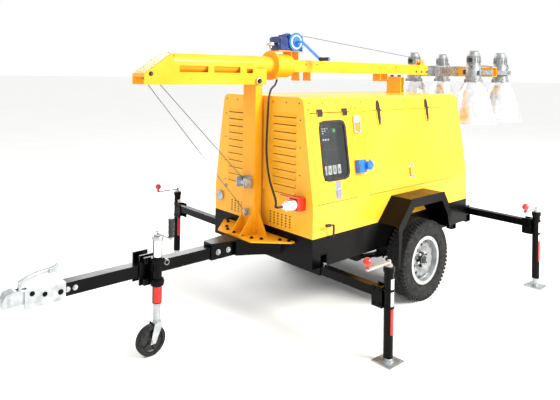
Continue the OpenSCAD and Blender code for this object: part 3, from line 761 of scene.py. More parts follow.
CABLE_POINTS = [
    (-998, -30, 1791.5), (-998, -30, 1778), (-1042, -58, 1746), (-1120, -104, 1714), (-1166, -134, 1650),
    (-1178, -140, 1560), (-1180, -134, 1410), (-1182, -132, 1270), (-1186, -150, 1140), (-1192, -186, 1034),
    (-1210, -240, 970), (-1252, -320, 925), (-1305, -388, 908), (-1348, -432, 905), (-1366, -460, 905),
    (-1352, -476, 905), (-1325.5, -476, 905)]


def lay_mast_cable():
    """The supply cable from the gland under the mast collar down to the plug on the canopy's front."""
    path = smooth_path([at(*point) for point in CABLE_POINTS], 8)
    made = make("mast_supply_cable", "trailer", cable_rubber, lambda bm: pipe(bm, path, 8,
                                                                                              16), sharp=60)
    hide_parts("mast_cable")


lay_mast_cable()


def lay_rope(name, start, end, along, turns_per_metre):
    """A laid wire rope: three strands twisted round the straight line from start to end.

    along names the body it rides on.
    """
    length = (end - start).length
    direction = (end - start).normalized()
    side = direction.orthogonal().normalized()
    other = direction.cross(side)
    steps = max(12, int(length / 0.012))

    def draw(bm):
        for strand in range(3):
            path = []
            for i in range(steps + 1):
                share = i / steps
                turn = 2 * math.pi * (turns_per_metre * length * share + strand / 3)
                offset = (side * math.cos(turn) + other * math.sin(turn)) * 0.0016
                path.append(start + direction * length * share + offset)
            pipe(bm, path, 1.7, 6)

    return make(name, along, wire_rope, draw, sharp=70)


def lay_lift_ropes():
    """Two falls of the tilting rope, from the cradle's sheave to the post winch and its anchor."""
    falls = [("lift_rope_to_anchor", at(-2161, 0, 1802), at(-1295, 0, 792)),
             ("lift_rope_to_winch", at(-2120, 0, 1844), at(-1285, 0, 1014))]
    for name, top, foot in falls:
        rope = lay_rope(name, top, foot, "trailer", 30)
        rope.parent = None
        del rope["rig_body"]
        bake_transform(rope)
        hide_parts("lift_ropes")


lay_lift_ropes()
hoist = lay_rope("hoist_wire_rope", at(-800, 0, 2168), at(1046, 0, 2018), "mast_outer", 30)
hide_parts("hoist_rope")

# ---------------------------------------------------------------- wheels

WHEEL_R = 325


def wheel_plane(side):
    """The wheel's own plane: its w axis points outwards, away from the trailer."""
    return basis(at(0, side * 790, WHEEL_R), (-side, 0, 0), (0, 0, 1))


def tyre_plane(side):
    """The tyre's middle plane, half a tyre's width in from the wheel's outer face."""
    return basis(at(0, side * 697.5, WHEEL_R), (-side, 0, 0), (0, 0, 1))


def tyre_carcass(side):
    def draw(bm):
        profile = [(181, -62), (188, -70), (197, -74), (205, -84), (232, -91), (258, -92), (282, -90), (300,
                                                                                                        -86),
                   (311, -78), (316, -66), (318, -40), (318.5, -20), (318.5, 20), (318, 40), (316, 66),
                   (311, 78),
                   (300, 86), (290, 88), (288, 90), (284, 90), (282, 89), (258, 92), (240, 92), (238, 93.4),
                   (234, 93.4), (232, 91.5), (214, 88), (212, 90), (208, 90), (205, 85), (197, 75), (188, 70),
                   (181, 62), (181, -62)]
        turned(bm, tyre_plane(side), (0, 0), profile, 96)
    return draw


def tread_blocks(side):
    """Chunky light-truck tread: two rows of ribs and two rows of shoulder lugs that wrap the edge."""
    def draw(bm):
        plane = tyre_plane(side)
        count = 58

        def lug(turn, span, w0, w1, r0, r1, skew):
            corners = []
            for radius in (r0, r1):
                for w, lean in ((w0, -skew), (w1, skew)):
                    for edge in (-span / 2, span / 2):
                        t = turn + edge + lean
                        corners.append(bm.verts.new(plane @ Vector((radius * math.cos(t),
                                                                    radius * math.sin(t), w))))
            a, b, c, d, e, f, g, h = corners
            for face in ((a, b, d, c), (e, g, h, f), (a, e, f, b), (c, d, h, g), (a, c, g, e), (b, f, h, d)):
                bm.faces.new(face)

        for k in range(count):
            turn = 2 * math.pi * k / count
            step = 2 * math.pi / count
            for s in (-1, 1):
                lug(turn, step * 0.62, s * 50, s * 82, 314, 324.6, s * 0.012)
                lug(turn + step / 2, step * 0.7, s * 27, s * 46, 316, 324.8, s * 0.02)
                lug(turn, step * 0.78, s * 5, s * 23, 316, 325, s * 0.02)
                lug(turn, step * 0.55, s * 80, s * 88, 294, 318, 0)
    return draw


for side, name in ((-1, "near"), (1, "far")):
    wheel = name + "_wheel"
    carcass = make(name + "_tyre_carcass", wheel, rubber, tyre_carcass(side), sharp=32)
    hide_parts(name + "_tyre")
    make(name + "_tyre_tread", wheel, rubber, tread_blocks(side), sharp=25)


def wheel_nuts(side):
    def draw(bm):
        plane = wheel_plane(side)
        for k in range(5):
            t = math.radians(36 + 72 * k)
            hex_bolt(bm, plane, (56 * math.cos(t), 56 * math.sin(t)), 19, -58, t)
            turned(bm, plane, (56 * math.cos(t), 56 * math.sin(t)), [(0, -58), (6, -58), (6, -34), (4, -31),
                                                                     (0, -31)],
                   14)
    return draw


def hub_cap(side):
    """Pressed grease cap over the hub, with its rolled rim."""
    def draw(bm):
        turned(bm, wheel_plane(side), (0, 0), [(0, -60), (36, -60), (37, -56), (33, -54), (32, -34), (30,
                                                                                                      -24),
                                               (22, -18), (8, -15.5), (0, -15)], 32)
    return draw


def dished_disc(side):
    """The stamped wheel disc: raised nut ring, dish and outer roll, with hand holes between the ribs."""
    def draw(bm):
        plane = wheel_plane(side)
        sides = 60
        profile = [(33, -60), (44, -56), (70, -55), (84, -50), (100, -38), (118, -33), (138, -38), (156, -52),
                   (166, -62)]
        grid = []
        for radius, height in profile:
            turns = [2 * math.pi * i / sides for i in range(sides)]
            grid.append([bm.verts.new(plane @ Vector((radius * math.cos(t), radius * math.sin(t), height)))
                         for t in turns])
        for ring in range(len(profile) - 1):
            for i in range(sides):
                hole = ring in (5, 6) and i % 5 in (1, 2)
                if not hole:
                    j = (i + 1) % sides
                    bm.faces.new((grid[ring][i], grid[ring][j], grid[ring + 1][j], grid[ring + 1][i]))
        bmesh.ops.solidify(bm, geom=list(bm.faces), thickness=3 * MM)
    return draw


for side, name in ((-1, "near"), (1, "far")):
    wheel = name + "_wheel"
    make(name + "_wheel_nuts", wheel, chassis_black, wheel_nuts(side), sharp=30)
    make(name + "_hub_cap", wheel, moulded_black, hub_cap(side))
    make(name + "_wheel_disc", wheel, rim_lacquer, dished_disc(side))


def valve(side):
    def draw(bm):
        plane = wheel_plane(side)
        turned(bm, plane, (0, 150), [(0, -56), (4.5, -56), (4, -30), (3, -26), (0, -26)], 12)
    return draw


make("near_wheel_valve", "near_wheel", cable_rubber, valve(-1))
make("far_wheel_valve", "far_wheel", cable_rubber, valve(1))

# ---------------------------------------------------------------- floodlights

LAMP_Z = MAST_Z - 15
LAMP_PLACES = {"near_front": (1483, -370, -1), "far_front": (1483, 370, -1),
               "near_rear": (2079, -370, 1), "far_rear": (2079, 370, 1)}


def lamp_plane(x, y):
    return ground_plane(x, y, LAMP_Z)


def bell(x, y):
    """The spun reflector: a flared bell with a rolled lip and a pressed step near its mouth."""
    def draw(bm):
        outer = [(86, -106), (96, -116), (113, -142), (130, -180), (147, -226), (163, -278), (178, -332),
                 (192, -386),
                 (206, -438), (219, -486), (229, -520), (236, -527), (237.8, -531), (236, -535),
                 (231, -536), (226, -534)]
        inner = [(224.5, -519), (214.5, -484), (201.5, -436), (187.5, -384), (173.5, -330), (158.5, -276),
                 (142.5, -226), (125.5, -182), (108, -146), (92, -121), (62, -116), (62, -104), (86, -106)]
        profile = outer + inner
        turned(bm, lamp_plane(x, y), (0, 0), profile, 72)
    return draw


def lamp_housing(x, y):
    """The cast gear housing: barrel, cap with a rim, neck collar and cooling ribs."""
    def draw(bm):
        plane = lamp_plane(x, y)
        turned(bm, plane, (0, 0), [(0, 224), (34, 223), (50, 216), (56, 205), (60, 190), (66, 178), (70, 174),
                                   (70, 166), (66, 162), (66, 96), (72, 90), (72, 64), (76, 58), (76, 20),
                                   (80, 10),
                                   (80, -66), (86, -72), (86, -112), (70, -114), (0, -114)], 48)
        for k in range(16):
            t = 2 * math.pi * k / 16
            rib = basis(plane @ Vector((0, 0, 0)), (math.cos(t), math.sin(t), 0), (0, 0, 1))
            prism(bm, rib, [(60, 98), (74, 98), (73, 160), (60, 164)], -2.2, 2.2)
            prism(bm, rib, [(30, 205), (52, 205), (46, 222), (34, 229)], -2.2, 2.2)
        for k in range(4):
            t = math.pi / 4 + k * math.pi / 2
            prism(bm, basis(plane @ Vector((0, 0, 0)), (math.cos(t), math.sin(t), 0), (0, 0, 1)),
                  [(70, -64), (96, -76), (96, -108), (70, -110)], -9, 9)
    return draw


def lamp_gland(x, y, way):
    """The black cable gland that screws into the housing's side."""
    def draw(bm):
        centre = lamp_plane(x, y) @ Vector((way * 62, 0, 130))
        plane = basis(centre, (0, way, 0), (0, 0, 1))
        turned(bm, plane, (0, 0), [(0, 0), (19, 0), (19, 10), (24, 12), (24, 24), (18, 26), (17, 36),
                                   (9, 40), (0, 40)],
               6 * 4)
    return draw


def lamp_lens(x, y):
    def draw(bm):
        turned(bm, lamp_plane(x, y), (0, 0), [(0, -531), (120, -530.5), (224, -529), (224, -525),
                                              (120, -526), (0, -526)],
               64)
    return draw


def lamp_bulb(x, y):
    """Tubular discharge lamp in its ceramic holder, seen through the glass."""
    def draw(bm):
        turned(bm, lamp_plane(x, y), (0, 0), [(0, -116), (22, -116), (22, -160), (17, -170), (24, -200),
                                              (25, -300),
                                              (18, -330), (0, -338)], 24)
    return draw


def lamp_lead(x, y, way):
    """The short black lead that loops from the gland down to the stirrup's terminal."""
    def draw(bm):
        points = [(way * 101, 0, 130), (way * 124, -8, 118), (way * 130, -22, 84), (way * 116, -36, 52),
                  (way * 96, -34, 44), (way * 82, -24, 62)]
        pipe(bm, smooth_path([lamp_plane(x, y) @ Vector(p) for p in points], 6), 4.5, 10)
    return draw


def trunnion(x, y):
    """Cast stirrup that holds the neck between the two arms of the bracket, with its pivot bolts."""
    def draw(bm):
        for s in (-1, 1):
            plane = side_facing(x, y + s * 80, LAMP_Z, s)
            turned(bm, plane, (0, 0), [(0, 0), (30, 0), (30, 4), (24, 6), (0, 6)], 28)
            outer = side_facing(x, y + s * 98, LAMP_Z, s)
            hex_bolt(bm, outer, (0, 0), 24, 0)
    return draw


for name, (x, y, way) in LAMP_PLACES.items():
    body = "lamp_" + name
    shade = make("lamp_bell_" + name, body, spun, bell(x, y), sharp=50)
    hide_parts(body)
    make("lamp_housing_" + name, body, cast_grey, lamp_housing(x, y), edge=1.0, sharp=35)
    make("lamp_gland_" + name, body, moulded_black, lamp_gland(x, y, way), sharp=30)
    make("lamp_lead_" + name, body, cable_rubber, lamp_lead(x, y, way), sharp=60)
    make("lamp_glass_" + name, body, glass, lamp_lens(x, y))
    make("lamp_bulb_" + name, body, tape_white, lamp_bulb(x, y))
    make("lamp_trunnion_" + name, body, cast_grey, trunnion(x, y), sharp=30)

# ---------------------------------------------------------------- outriggers

JACK_PLACES = {"near_front": (-1021, -1, 430, 1170, 30), "near_rear": (1007, -1, 545, 1240, 75),
               "far_front": (-1021, 1, 504, 1410, 75), "far_rear": (1007, 1, 471, 1240, 75)}
JACK_R = 31.5


def bent_tape(x, y, z0, z1, facing):
    """A strip of tape wrapped over a third of the jack tube, facing the near side."""
    def draw(bm):
        steps = 10
        rows = []
        for radius in (JACK_R + 0.3, JACK_R + 1.3):
            row = []
            for i in range(steps + 1):
                t = math.radians(facing - 42 + 84 * i / steps)
                row.append([bm.verts.new(at(x + radius * math.cos(t), y + radius * math.sin(t),
                                            z)) for z in (z0, z1)])
            rows.append(row)
        for i in range(steps):
            for row in rows:
                bm.faces.new((row[i][0], row[i + 1][0], row[i + 1][1], row[i][1]))
            for level in (0, 1):
                bm.faces.new((rows[0][i][level], rows[0][i + 1][level], rows[1][i + 1][level],
                              rows[1][i][level]))
        for i in (0, steps):
            bm.faces.new((rows[0][i][0], rows[1][i][0], rows[1][i][1], rows[0][i][1]))
    return draw


def jack_bracket(x, side, beam_z, y):
    """Bolted clamp between the beam's end and the jack tube."""
    def draw(bm):
        face = side_facing(x, side * (y - 44), beam_z, side)
        for u in (-26, 26):
            for v in (-74, -46):
                hex_bolt(bm, face, (u, v), 13, 0.5)
        for s in (-1, 1):
            cheek = basis(at(x + s * 38, side * (y - 68), beam_z), (0, s * 1.0, 0), (0, 0, 1))
            for u in (-22, 22):
                for v in (-70, 20):
                    hex_bolt(bm, cheek, (u, v), 13, 0)
        collar = ground_plane(x, side * y)
        for level in (beam_z - 84, beam_z + 24):
            turned(bm, collar, (0, 0), [(JACK_R, level), (JACK_R + 5, level), (JACK_R + 5, level + 16),
                                        (JACK_R, level + 16), (JACK_R, level)], 32)
    return draw


def lock_pin(x, side, y, z):
    """A spring-wire pull ring on the pin that locks the beam."""
    def draw(bm):
        plane = side_facing(x, side * y, z, side)
        turned(bm, plane, (0, 0), [(0, 0), (6, 0), (6, 16), (4, 18), (4, 26), (0, 26)], 16)
        ring = [plane @ Vector((16 * math.sin(t), -16 + 16 * math.cos(t), 22))
                for t in [2 * math.pi * i / 20 for i in range(21)]]
        pipe(bm, ring, 1.8, 8)
    return draw


def foot_plate(x, y, size):
    def draw(bm):
        plane = ground_plane(x, y)
        for u in (-1, 1):
            for v in (-1, 1):
                turned(bm, plane, (u * (size / 2 - 18), v * (size / 2 - 18)), [(6, 8), (9, 8), (9, 9.2),
                                                                               (6, 9.2),
                                                                               (6, 8)], 16)
        turned(bm, plane, (0, 0), [(26.6, 14.1), (37, 14.1), (31, 15.5), (27.5, 17.4), (26.6, 17.4),
                                   (26.6, 14.1)], 28)
    return draw


def crank_knob(x, y, top):
    """A dipped red ball knob with its collar on the crank's spindle."""
    def draw(bm):
        plane = ground_plane(x - 218, y)
        radius = 28.5
        arc = [(radius * math.sin(math.radians(a)), top + 655 - radius * math.cos(math.radians(a)))
               for a in range(15, 180, 15)]
        turned(bm, plane, (0, 0), [(0, top + 655 - radius)] + arc + [(0, top + 655 + radius)], 24)
        turned(bm, plane, (0, 0), [(8.2, top + 612), (13, top + 612), (13, top + 620), (10, top + 628),
                                   (8.2, top + 628),
                                   (8.2, top + 612)], 20)
    return draw


def crank_hub(x, y, top):
    def draw(bm):
        plane = ground_plane(x, y)
        turned(bm, plane, (0, 0), [(0, top + 612.2), (12, top + 612.2), (12, top + 620), (9, top + 623),
                                   (0, top + 623)],
               6)
        turned(bm, plane, (0, 0), [(20.2, top + 580), (24, top + 580), (24, top + 592), (20.2, top + 592),
                                   (20.2, top + 580)], 24)
    return draw


for name, (x, side, beam_z, y, bottom) in JACK_PLACES.items():
    beam = "beam_" + name
    white_low, white_high = bottom + 330, bottom + 505
    red_low = bottom + 150
    make("tape_white_" + name, beam, tape_white, bent_tape(x, side * y, white_low, white_high,
                                                                         -76))
    make("tape_red_" + name, beam, tape_red, bent_tape(x, side * y, red_low, white_low, -76))
    make("jack_clamp_" + name, beam, chassis_black, jack_bracket(x, side, beam_z, y), edge=0.8)
    make("lock_pin_" + name, "trailer", zinc, lock_pin(x - 4, side, FOOT_HALF + 1, beam_z + 48),
         sharp=30)
    make("foot_detail_" + name, "leg_" + name, zinc, foot_plate(x, side * y, 150), sharp=30)
    make("crank_knob_" + name, "crank_" + name, knob_red, crank_knob(x, side * y, bottom),
         sharp=50)
    make("crank_hub_" + name, "crank_" + name, zinc, crank_hub(x, side * y, bottom), sharp=30)

# ---------------------------------------------------------------- jockey wheel

JOCKEY = (-2094, -120)


def jockey_tapes(z0, z1):
    def draw(bm):
        steps = 10
        x, y = JOCKEY
        rows = []
        for radius in (30.3, 31.3):
            row = []
            for i in range(steps + 1):
                t = math.radians(-118 - 50 + 100 * i / steps)
                row.append([bm.verts.new(at(x + radius * math.cos(t), y + radius * math.sin(t),
                                            z)) for z in (z0, z1)])
            rows.append(row)
        for i in range(steps):
            for row in rows:
                bm.faces.new((row[i][0], row[i + 1][0], row[i + 1][1], row[i][1]))
    return draw


make("jockey_tape_white", "trailer", tape_white, jockey_tapes(632, 742))
make("jockey_tape_red", "trailer", tape_red, jockey_tapes(336, 440))


def jockey_grip(bm):
    """Moulded grip with finger rings at its ends."""
    plane = ground_plane(JOCKEY[0], JOCKEY[1] - 166)
    turned(bm, plane, (0, 0), [(0, 796), (19, 796), (19.5, 800), (17.3, 806), (17.3, 826), (18.6, 830),
                               (17.3, 834),
                               (17.3, 852), (18.6, 856), (17.3, 860), (17.3, 880), (18.6, 884), (17.3, 888),
                               (18.5, 900), (19.5, 908), (16, 912), (0, 913)], 28)


make("jockey_grip", "jockey_crank", moulded_black, jockey_grip, sharp=45)


def jockey_head(bm):
    """The rounded cast gear head under the crank."""
    plane = ground_plane(*JOCKEY)
    turned(bm, plane, (0, 0), [(30.2, 738), (36, 740), (38, 748), (38, 760), (33, 766), (30.2, 766),
                               (30.2, 738)], 32)


make("jockey_head_collar", "trailer", zinc, jockey_head, sharp=40)


def jockey_arm(bm):
    plane = basis(at(JOCKEY[0], JOCKEY[1], 790.2), (1, 0, 0), (0, 1, 0))
    outline = [(15 * math.cos(math.radians(a)), 15 * math.sin(math.radians(a))) for a in range(0, 181, 20)]
    outline += [(13 * math.cos(math.radians(a)),
                 -166 + 13 * math.sin(math.radians(a))) for a in range(180, 361, 20)]
    prism(bm, plane, outline, 0, 5)
    hex_bolt(bm, plane, (0, 0), 16, 5)


make("jockey_crank_arm", "jockey_crank", zinc, jockey_arm, edge=1.2)


def jockey_tread(bm):
    """Solid rubber tyre with rounded shoulders and two mould lines."""
    plane = basis(at(-2136, -120, 100), (1, 0, 0), (0, 0, 1))
    turned(bm, plane, (0, 0), [(73, -26), (84, -27.5), (94, -24), (98.5, -18), (99.6, -8), (99, -6), (99.6,
                                                                                                      -4),
                               (99.8, 0), (99.6, 4), (99, 6), (99.6, 8), (98.5, 18), (94, 24), (84, 27.5),
                               (73, 26),
                               (70, 18), (70, -18), (73, -26)], 56)


def jockey_hub(bm):
    for s in (-1, 1):
        half = basis(at(-2136, -120, 100), (-s, 0, 0), (0, 0, 1))
        turned(bm, half, (0, 0), [(0, 30.5), (18, 30.5), (20, 26), (30, 12), (62, 9), (70.5, 16), (70.5, 6),
                                  (30, 4),
                                  (0, 4)], 40)
        for k in range(5):
            t = 2 * math.pi * k / 5
            prism(bm, basis(half @ Vector((0, 0, 0)),
                            half.col[0].xyz * math.cos(t) + half.col[1].xyz * math.sin(t),
                            half.col[2].xyz), [(18, 8), (68, 8), (68, 16), (18, 24)], -3, 3)


make("jockey_tyre_moulding", "jockey_wheel", rubber, jockey_tread, sharp=30)
make("jockey_wheel_hub", "jockey_wheel", moulded_black, jockey_hub, sharp=35)
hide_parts("jockey_wheel")


def jockey_axle(bm):
    for s in (-1, 1):
        plane = side_facing(-2136, -120 + s * 37, 100, s)
        hex_bolt(bm, plane, (0, 0), 15, 0.2)


make("jockey_axle_nuts", "jockey_fork", zinc, jockey_axle, edge=0.6)


def jockey_clamp(bm):
    """Bolted two-plate clamp that holds the jockey tube against the drawbar."""
    for z in (466, 606):
        plate = basis(at(-2094, -89, z), (1, 0, 0), (0, 0, 1))
        for u in (-58, 8):
            hex_bolt(bm, plate, (u + 2, 0), 17, 0.5)
    plane = ground_plane(*JOCKEY)
    for level in (446, 586):
        turned(bm, plane, (0, 0), [(42.2, level + 8), (46, level + 10), (46, level + 30), (42.2, level + 32),
                                   (42.2, level + 8)], 36)


make("jockey_clamp_bolts", "trailer", chassis_black, jockey_clamp, edge=0.8)
make("jockey_clamp_pin", "trailer", zinc, lock_pin(-2060, -1, 162, 618), sharp=30)

# ---------------------------------------------------------------- drawbar and coupler


def coupler_bolts(bm):
    for s in (-1, 1):
        for x, z in ((-2850, 560), (-2780, 540), (-2690, 530)):
            plane = side_facing(x, s * 52, z, s)
            if x == -2690:
                hex_bolt(bm, plane, (0, 0), 19, 0.2)
            else:
                hex_bolt(bm, plane, (0, 0), 17, 0.2)


def coupler_neck(bm):
    """The pressed hood over the ball: a rounded nose that runs into the channel."""
    plane = ground_plane(-2960, 0)
    profile = [(39.5, 530), (43.5, 532), (43.5, 548), (39, 562), (28, 574), (14, 581), (0, 583), (0, 579),
               (26, 570),
               (37, 552), (39.5, 530)]
    turned(bm, plane, (0, 0), profile, 36)


def coupler_grip(bm):
    """The lifting handle's rubber-free steel grip with its rolled edges and latch."""
    pipe(bm, smooth_path([at(-2900, 0, 622), at(-2860, 0, 640), at(-2800, 0, 654), at(-2745, 0, 660),
                          at(-2706, 0, 668),
                          at(-2690, 0, 684)], 5), 13, 16)
    slab(bm, basis(at(-2722, 0, 664), (1, 0, 0), (0, 1, 0)), (-24, -24, 0), (20, 24, 5))


make("coupler_bolts", "trailer", chassis_black, coupler_bolts, edge=0.8)
make("coupler_nose", "trailer", zinc, coupler_neck, sharp=40)
make("coupler_grip", "coupler_handle", zinc, coupler_grip, sharp=40)


def drawbar_bolts(bm):
    for x in (-1560, -1470):
        for s in (-1, 1):
            hex_bolt(bm, side_facing(x, s * 50, 530, s), (0, 0), 24, 0.3)
    for x in (-2645, -2600):
        hex_bolt(bm, side_facing(x, -40.3, 530, -1), (0, 0), 19, 0.2)


make("drawbar_bolts", "trailer", zinc, drawbar_bolts, edge=0.8)

# ---------------------------------------------------------------- post and mast


def post_bolts(bm):
    plane = ground_plane(-1250, 0, 612)
    for x, y in ((-1330, -150), (-1330, 150), (-1290, -215), (-1290, 215), (-1200, -320), (-1200, 320),
                 (-1165, -380), (-1165, 380), (-1345, -50), (-1345, 50)):
        hex_bolt(bm, plane, (x + 1250, y), 20, 0.2, x)


def pivot_bolts(bm):
    for s in (-1, 1):
        plane = side_facing(-1235, s * 98, 1779, s)
        hex_bolt(bm, plane, (0, 0), 24, 5)
        sheave = side_facing(-2140, s * 84, 1823, s)
        hex_bolt(bm, sheave, (0, 0), 19, 0.2)


def pivot_washers(bm):
    for s in (-1, 1):
        plane = side_facing(-1235, s * 98, 1779, s)
        turned(bm, plane, (0, 0), [(0, 0.1), (25, 0.1), (25, 4), (23, 5), (0, 5)], 32)


make("post_foot_bolts", "trailer", chassis_black, post_bolts, edge=0.8)
make("pivot_bolts", "mast_cradle", moulded_black, pivot_bolts, edge=0.8)
make("pivot_washers", "mast_cradle", zinc, pivot_washers, sharp=30)


def cradle_sheave(bm):
    """The rope sheave's pressed flanges and its bush between the cradle's cheeks."""
    plane = side_facing(-2140, 0, 1823, 1)
    for s in (-1, 1):
        turned(bm, plane, (0, 0), [(9.2, s * 14.1), (24.8, s * 14.1), (24.8, s * 16), (20, s * 18), (13,
                                                                                                     s * 18),
                                   (13, s * 24), (9.2, s * 24), (9.2, s * 14.1)], 40)


make("rope_sheave", "mast_cradle", zinc, cradle_sheave, sharp=35)


def knob_top(bm):
    """Turned mushroom knob over the cradle's lock pin, domed with a polished rim."""
    plane = ground_plane(-1042.5, 0, MAST_Z)
    turned(bm, plane, (0, 0), [(5.2, 140), (15, 141), (16, 150), (12, 156), (14, 160), (34, 162), (38, 168),
                               (38, 174),
                               (34, 182), (20, 188), (0, 190), (0, 186), (5.2, 182), (5.2, 140)], 36)


champagne = surface("turned_brass_nickel_plate", "C9BFA4", "DDD5BD", 25, 1.5, 0.02, (0.18, 0.28),
                    metal=1.0)[0]
make("lock_knob_head", "lock_knob", champagne, knob_top, sharp=40)


def weld_ring(x0, x1, radius):
    """A fillet of weld where a round collar meets the mast."""
    def draw(bm):
        plane = basis(at(0, 0, MAST_Z), (0, 1, 0), (0, 0, 1))
        turned(bm, plane, (0, 0), [(radius, x0), (radius + 5, x0), (radius + 2, (x0 + x1) / 2), (radius, x1),
                                   (radius - 2, x1), (radius - 2, x0), (radius, x0)], 48)
    return draw


make("collar_weld_front", "mast_cradle", powder_amber_painted_shade, weld_ring(-1050, -1059, 72), sharp=60)


def winch_drum(bm):
    """Two pressed flanges, the rope's coils between them, on the mast winch's shaft."""
    plane = side_facing(-830, 0, MAST_Z + 195, 1)
    for s in (-1, 1):
        turned(bm, plane, (0, 0), [(20, s * 49), (60, s * 48), (64, s * 46), (64, s * 53), (58, s * 54),
                                   (44, s * 51),
                                   (20, s * 53), (20, s * 49)], 48)


def winch_coils(bm):
    plane = side_facing(-830, 0, MAST_Z + 195, 1)
    profile = [(22, -45)]
    for k in range(15):
        w = -42 + 6 * k
        profile += [(45, w - 2.6), (47.8, w - 1.3), (48, w), (47.8, w + 1.3), (45, w + 2.6)]
    profile += [(22, 45), (22, -45)]
    turned(bm, plane, (0, 0), profile, 40)


def winch_gear(bm):
    """The big gear wheel beside the drum, in black; winch_ring puts a pale ring on its face inside the teeth.
    """
    plane = side_facing(-830, -64, MAST_Z + 195, -1)
    teeth = 40
    outline = []
    for k in range(teeth):
        for share, radius in ((0.0, 75.8), (0.25, 75.8), (0.5, 70), (0.75, 70)):
            t = 2 * math.pi * (k + share) / teeth
            outline.append((radius * math.cos(t), radius * math.sin(t)))
    prism(bm, plane, outline, 2, 12)


def winch_ring(bm):
    plane = side_facing(-830, -64, MAST_Z + 195, -1)
    turned(bm, plane, (0, 0), [(48, 12.2), (58, 12.2), (58, 16), (48, 16), (48, 12.2)], 40)


def winch_case(bm):
    """Rounded drive housing in front of the drum, with a raised cover and screws."""
    plane = side_facing(-952, -60, MAST_Z + 173, -1)
    prism(bm, plane, rounded(-42, -44, 42, 48, 12), 0.2, 7)
    prism(bm, plane, rounded(-30, 8, 30, 34, 5), 7, 10)
    for u in (-34, 34):
        for v in (-36, 40):
            dome(bm, plane, (u, v), 4, 3, 7)
    top = basis(at(-952, 0, MAST_Z + 225), (1, 0, 0), (0, 1, 0))
    prism(bm, top, rounded(-44, -56, 44, 56, 14), 0, 8)
    hump = side_facing(-890, 0, MAST_Z + 232, 1)
    turned(bm, hump, (0, 0), [(0, -50), (30, -50), (34, -44), (34, 44), (30, 50), (0, 50)], 32)


make("winch_drum_flanges", "mast_winch_drum", moulded_black, winch_drum, sharp=30)
make("winch_rope_coils", "mast_winch_drum", wire_rope, winch_coils, sharp=70)
make("winch_gear_wheel", "mast_winch_drum", moulded_black, winch_gear, edge=0.6)
make("winch_gear_ring", "mast_winch_drum", tape_white, winch_ring, sharp=30)
make("winch_drive_case", "mast_outer", winch_navy_painted_shade, winch_case, edge=2.0)


def winch_handle(bm):
    plane = side_facing(-830 + 226, -134, MAST_Z + 195 - 134, -1)
    turned(bm, plane, (0, 0), [(13.2, -4), (18, -3), (18, 3), (15.5, 8), (16.5, 30), (15, 55), (16.5, 74),
                               (15.5, 88),
                               (15.5, 93), (12, 97), (0, 97.6)], 28)


make("winch_crank_grip", "mast_winch_drum", moulded_black, winch_handle, sharp=45)


def mast_details(bm):
    """Locking screws on the mast's side and pads that it rests on."""
    for x in (-690, -560, 560, 1060):
        dome(bm, side_facing(x, -50, MAST_Z + 18, -1), (0, 0), 6, 5)
        dome(bm, side_facing(x, 50, MAST_Z + 18, 1), (0, 0), 6, 5)
    for x in (-762, -630, 320, 430):
        for s in (-1, 1):
            slab(bm, basis(at(x, s * 46, MAST_Z - 120), (1, 0, 0), (0, 0, 1)), (-4, 2, -1), (4, 10, 1))


def mast_pads(bm):
    for x in (905, 1000, 1090):
        for s in (-1, 1):
            slab(bm, side_facing(x, s * 50, MAST_Z, s), (-9, -30, 0.2), (9, -10, 6))
    for s in (-1, 1):
        slab(bm, side_facing(622, s * 40, 1830, s), (-26, -1, 0.2), (26, 16, 5))


make("mast_screws", "mast_outer", moulded_black, mast_details, sharp=40)
make("mast_slide_pads", "mast_outer", moulded_black, mast_pads, edge=1.0)


def hoist_pulley(bm):
    """The grooved pulley between the mast-end ears."""
    plane = side_facing(1050, 0, MAST_Z + 85, 1)
    turned(bm, plane, (0, 0), [(8, -12), (26, -12), (28, -9), (22, -3), (22, 3), (28, 9), (26, 12), (8, 12),
                               (8, -12)],
           36)
    for s in (-1, 1):
        hex_bolt(bm, side_facing(1050, s * 30, MAST_Z + 85, s), (0, 0), 17, 0.2)


make("hoist_pulley", "mast_outer", zinc, hoist_pulley, sharp=35)


def post_winch_detail(bm):
    """Ratchet wheel and rim screws of the hand winch on the post."""
    plane = side_facing(-1298, -48, 1000, -1)
    teeth = 18
    outline = []
    for k in range(teeth):
        for share, radius in ((0.0, 27), (0.1, 33), (0.9, 27)):
            t = 2 * math.pi * (k + share) / teeth
            outline.append((radius * math.cos(t), radius * math.sin(t)))
    prism(bm, plane, outline, 0.5, 6)
    for u, v in ((22, 32), (22, -32)):
        hex_bolt(bm, plane, (u, v), 10, 0.2)


make("post_winch_ratchet", "post_winch_drum", zinc, post_winch_detail, edge=0.4)


def anchor_ring(bm):
    """A round shackle ring below the winch where the rope's end is made fast."""
    plane = side_facing(-1274, -12, 768, -1)
    ring = [plane @ Vector((22 * math.cos(t), 22 * math.sin(t),
                            0)) for t in [2 * math.pi * i / 28 for i in range(29)]]
    pipe(bm, ring, 4, 10)


make("rope_anchor_ring", "trailer", zinc, anchor_ring, sharp=60)

# ---------------------------------------------------------------- running gear


def leaf_pack(side):
    """Four leaves of falling length stacked under the main leaf, with rebound clips."""
    def draw(bm):
        for k in range(1, 5):
            reach = 540 - 105 * k
            steps = [reach * (i / 6 - 1) for i in range(13)]
            top = [(x, 355 - 7.4 * (k - 1) + 31 * (x / 560) ** 2) for x in steps]
            under = [(x, z - 6.6) for x, z in reversed(top)]
            plane = side_facing(0, side * 500, 0, -1)
            prism(bm, plane, top + under, -29, 29)
        for x in (-240, 240):
            slab(bm, side_facing(x, side * 500, 340, -1), (-12, -8, -33), (12, 42, -30))
            slab(bm, side_facing(x, side * 500, 340, -1), (-12, -8, 30), (12, 42, 33))
    return draw


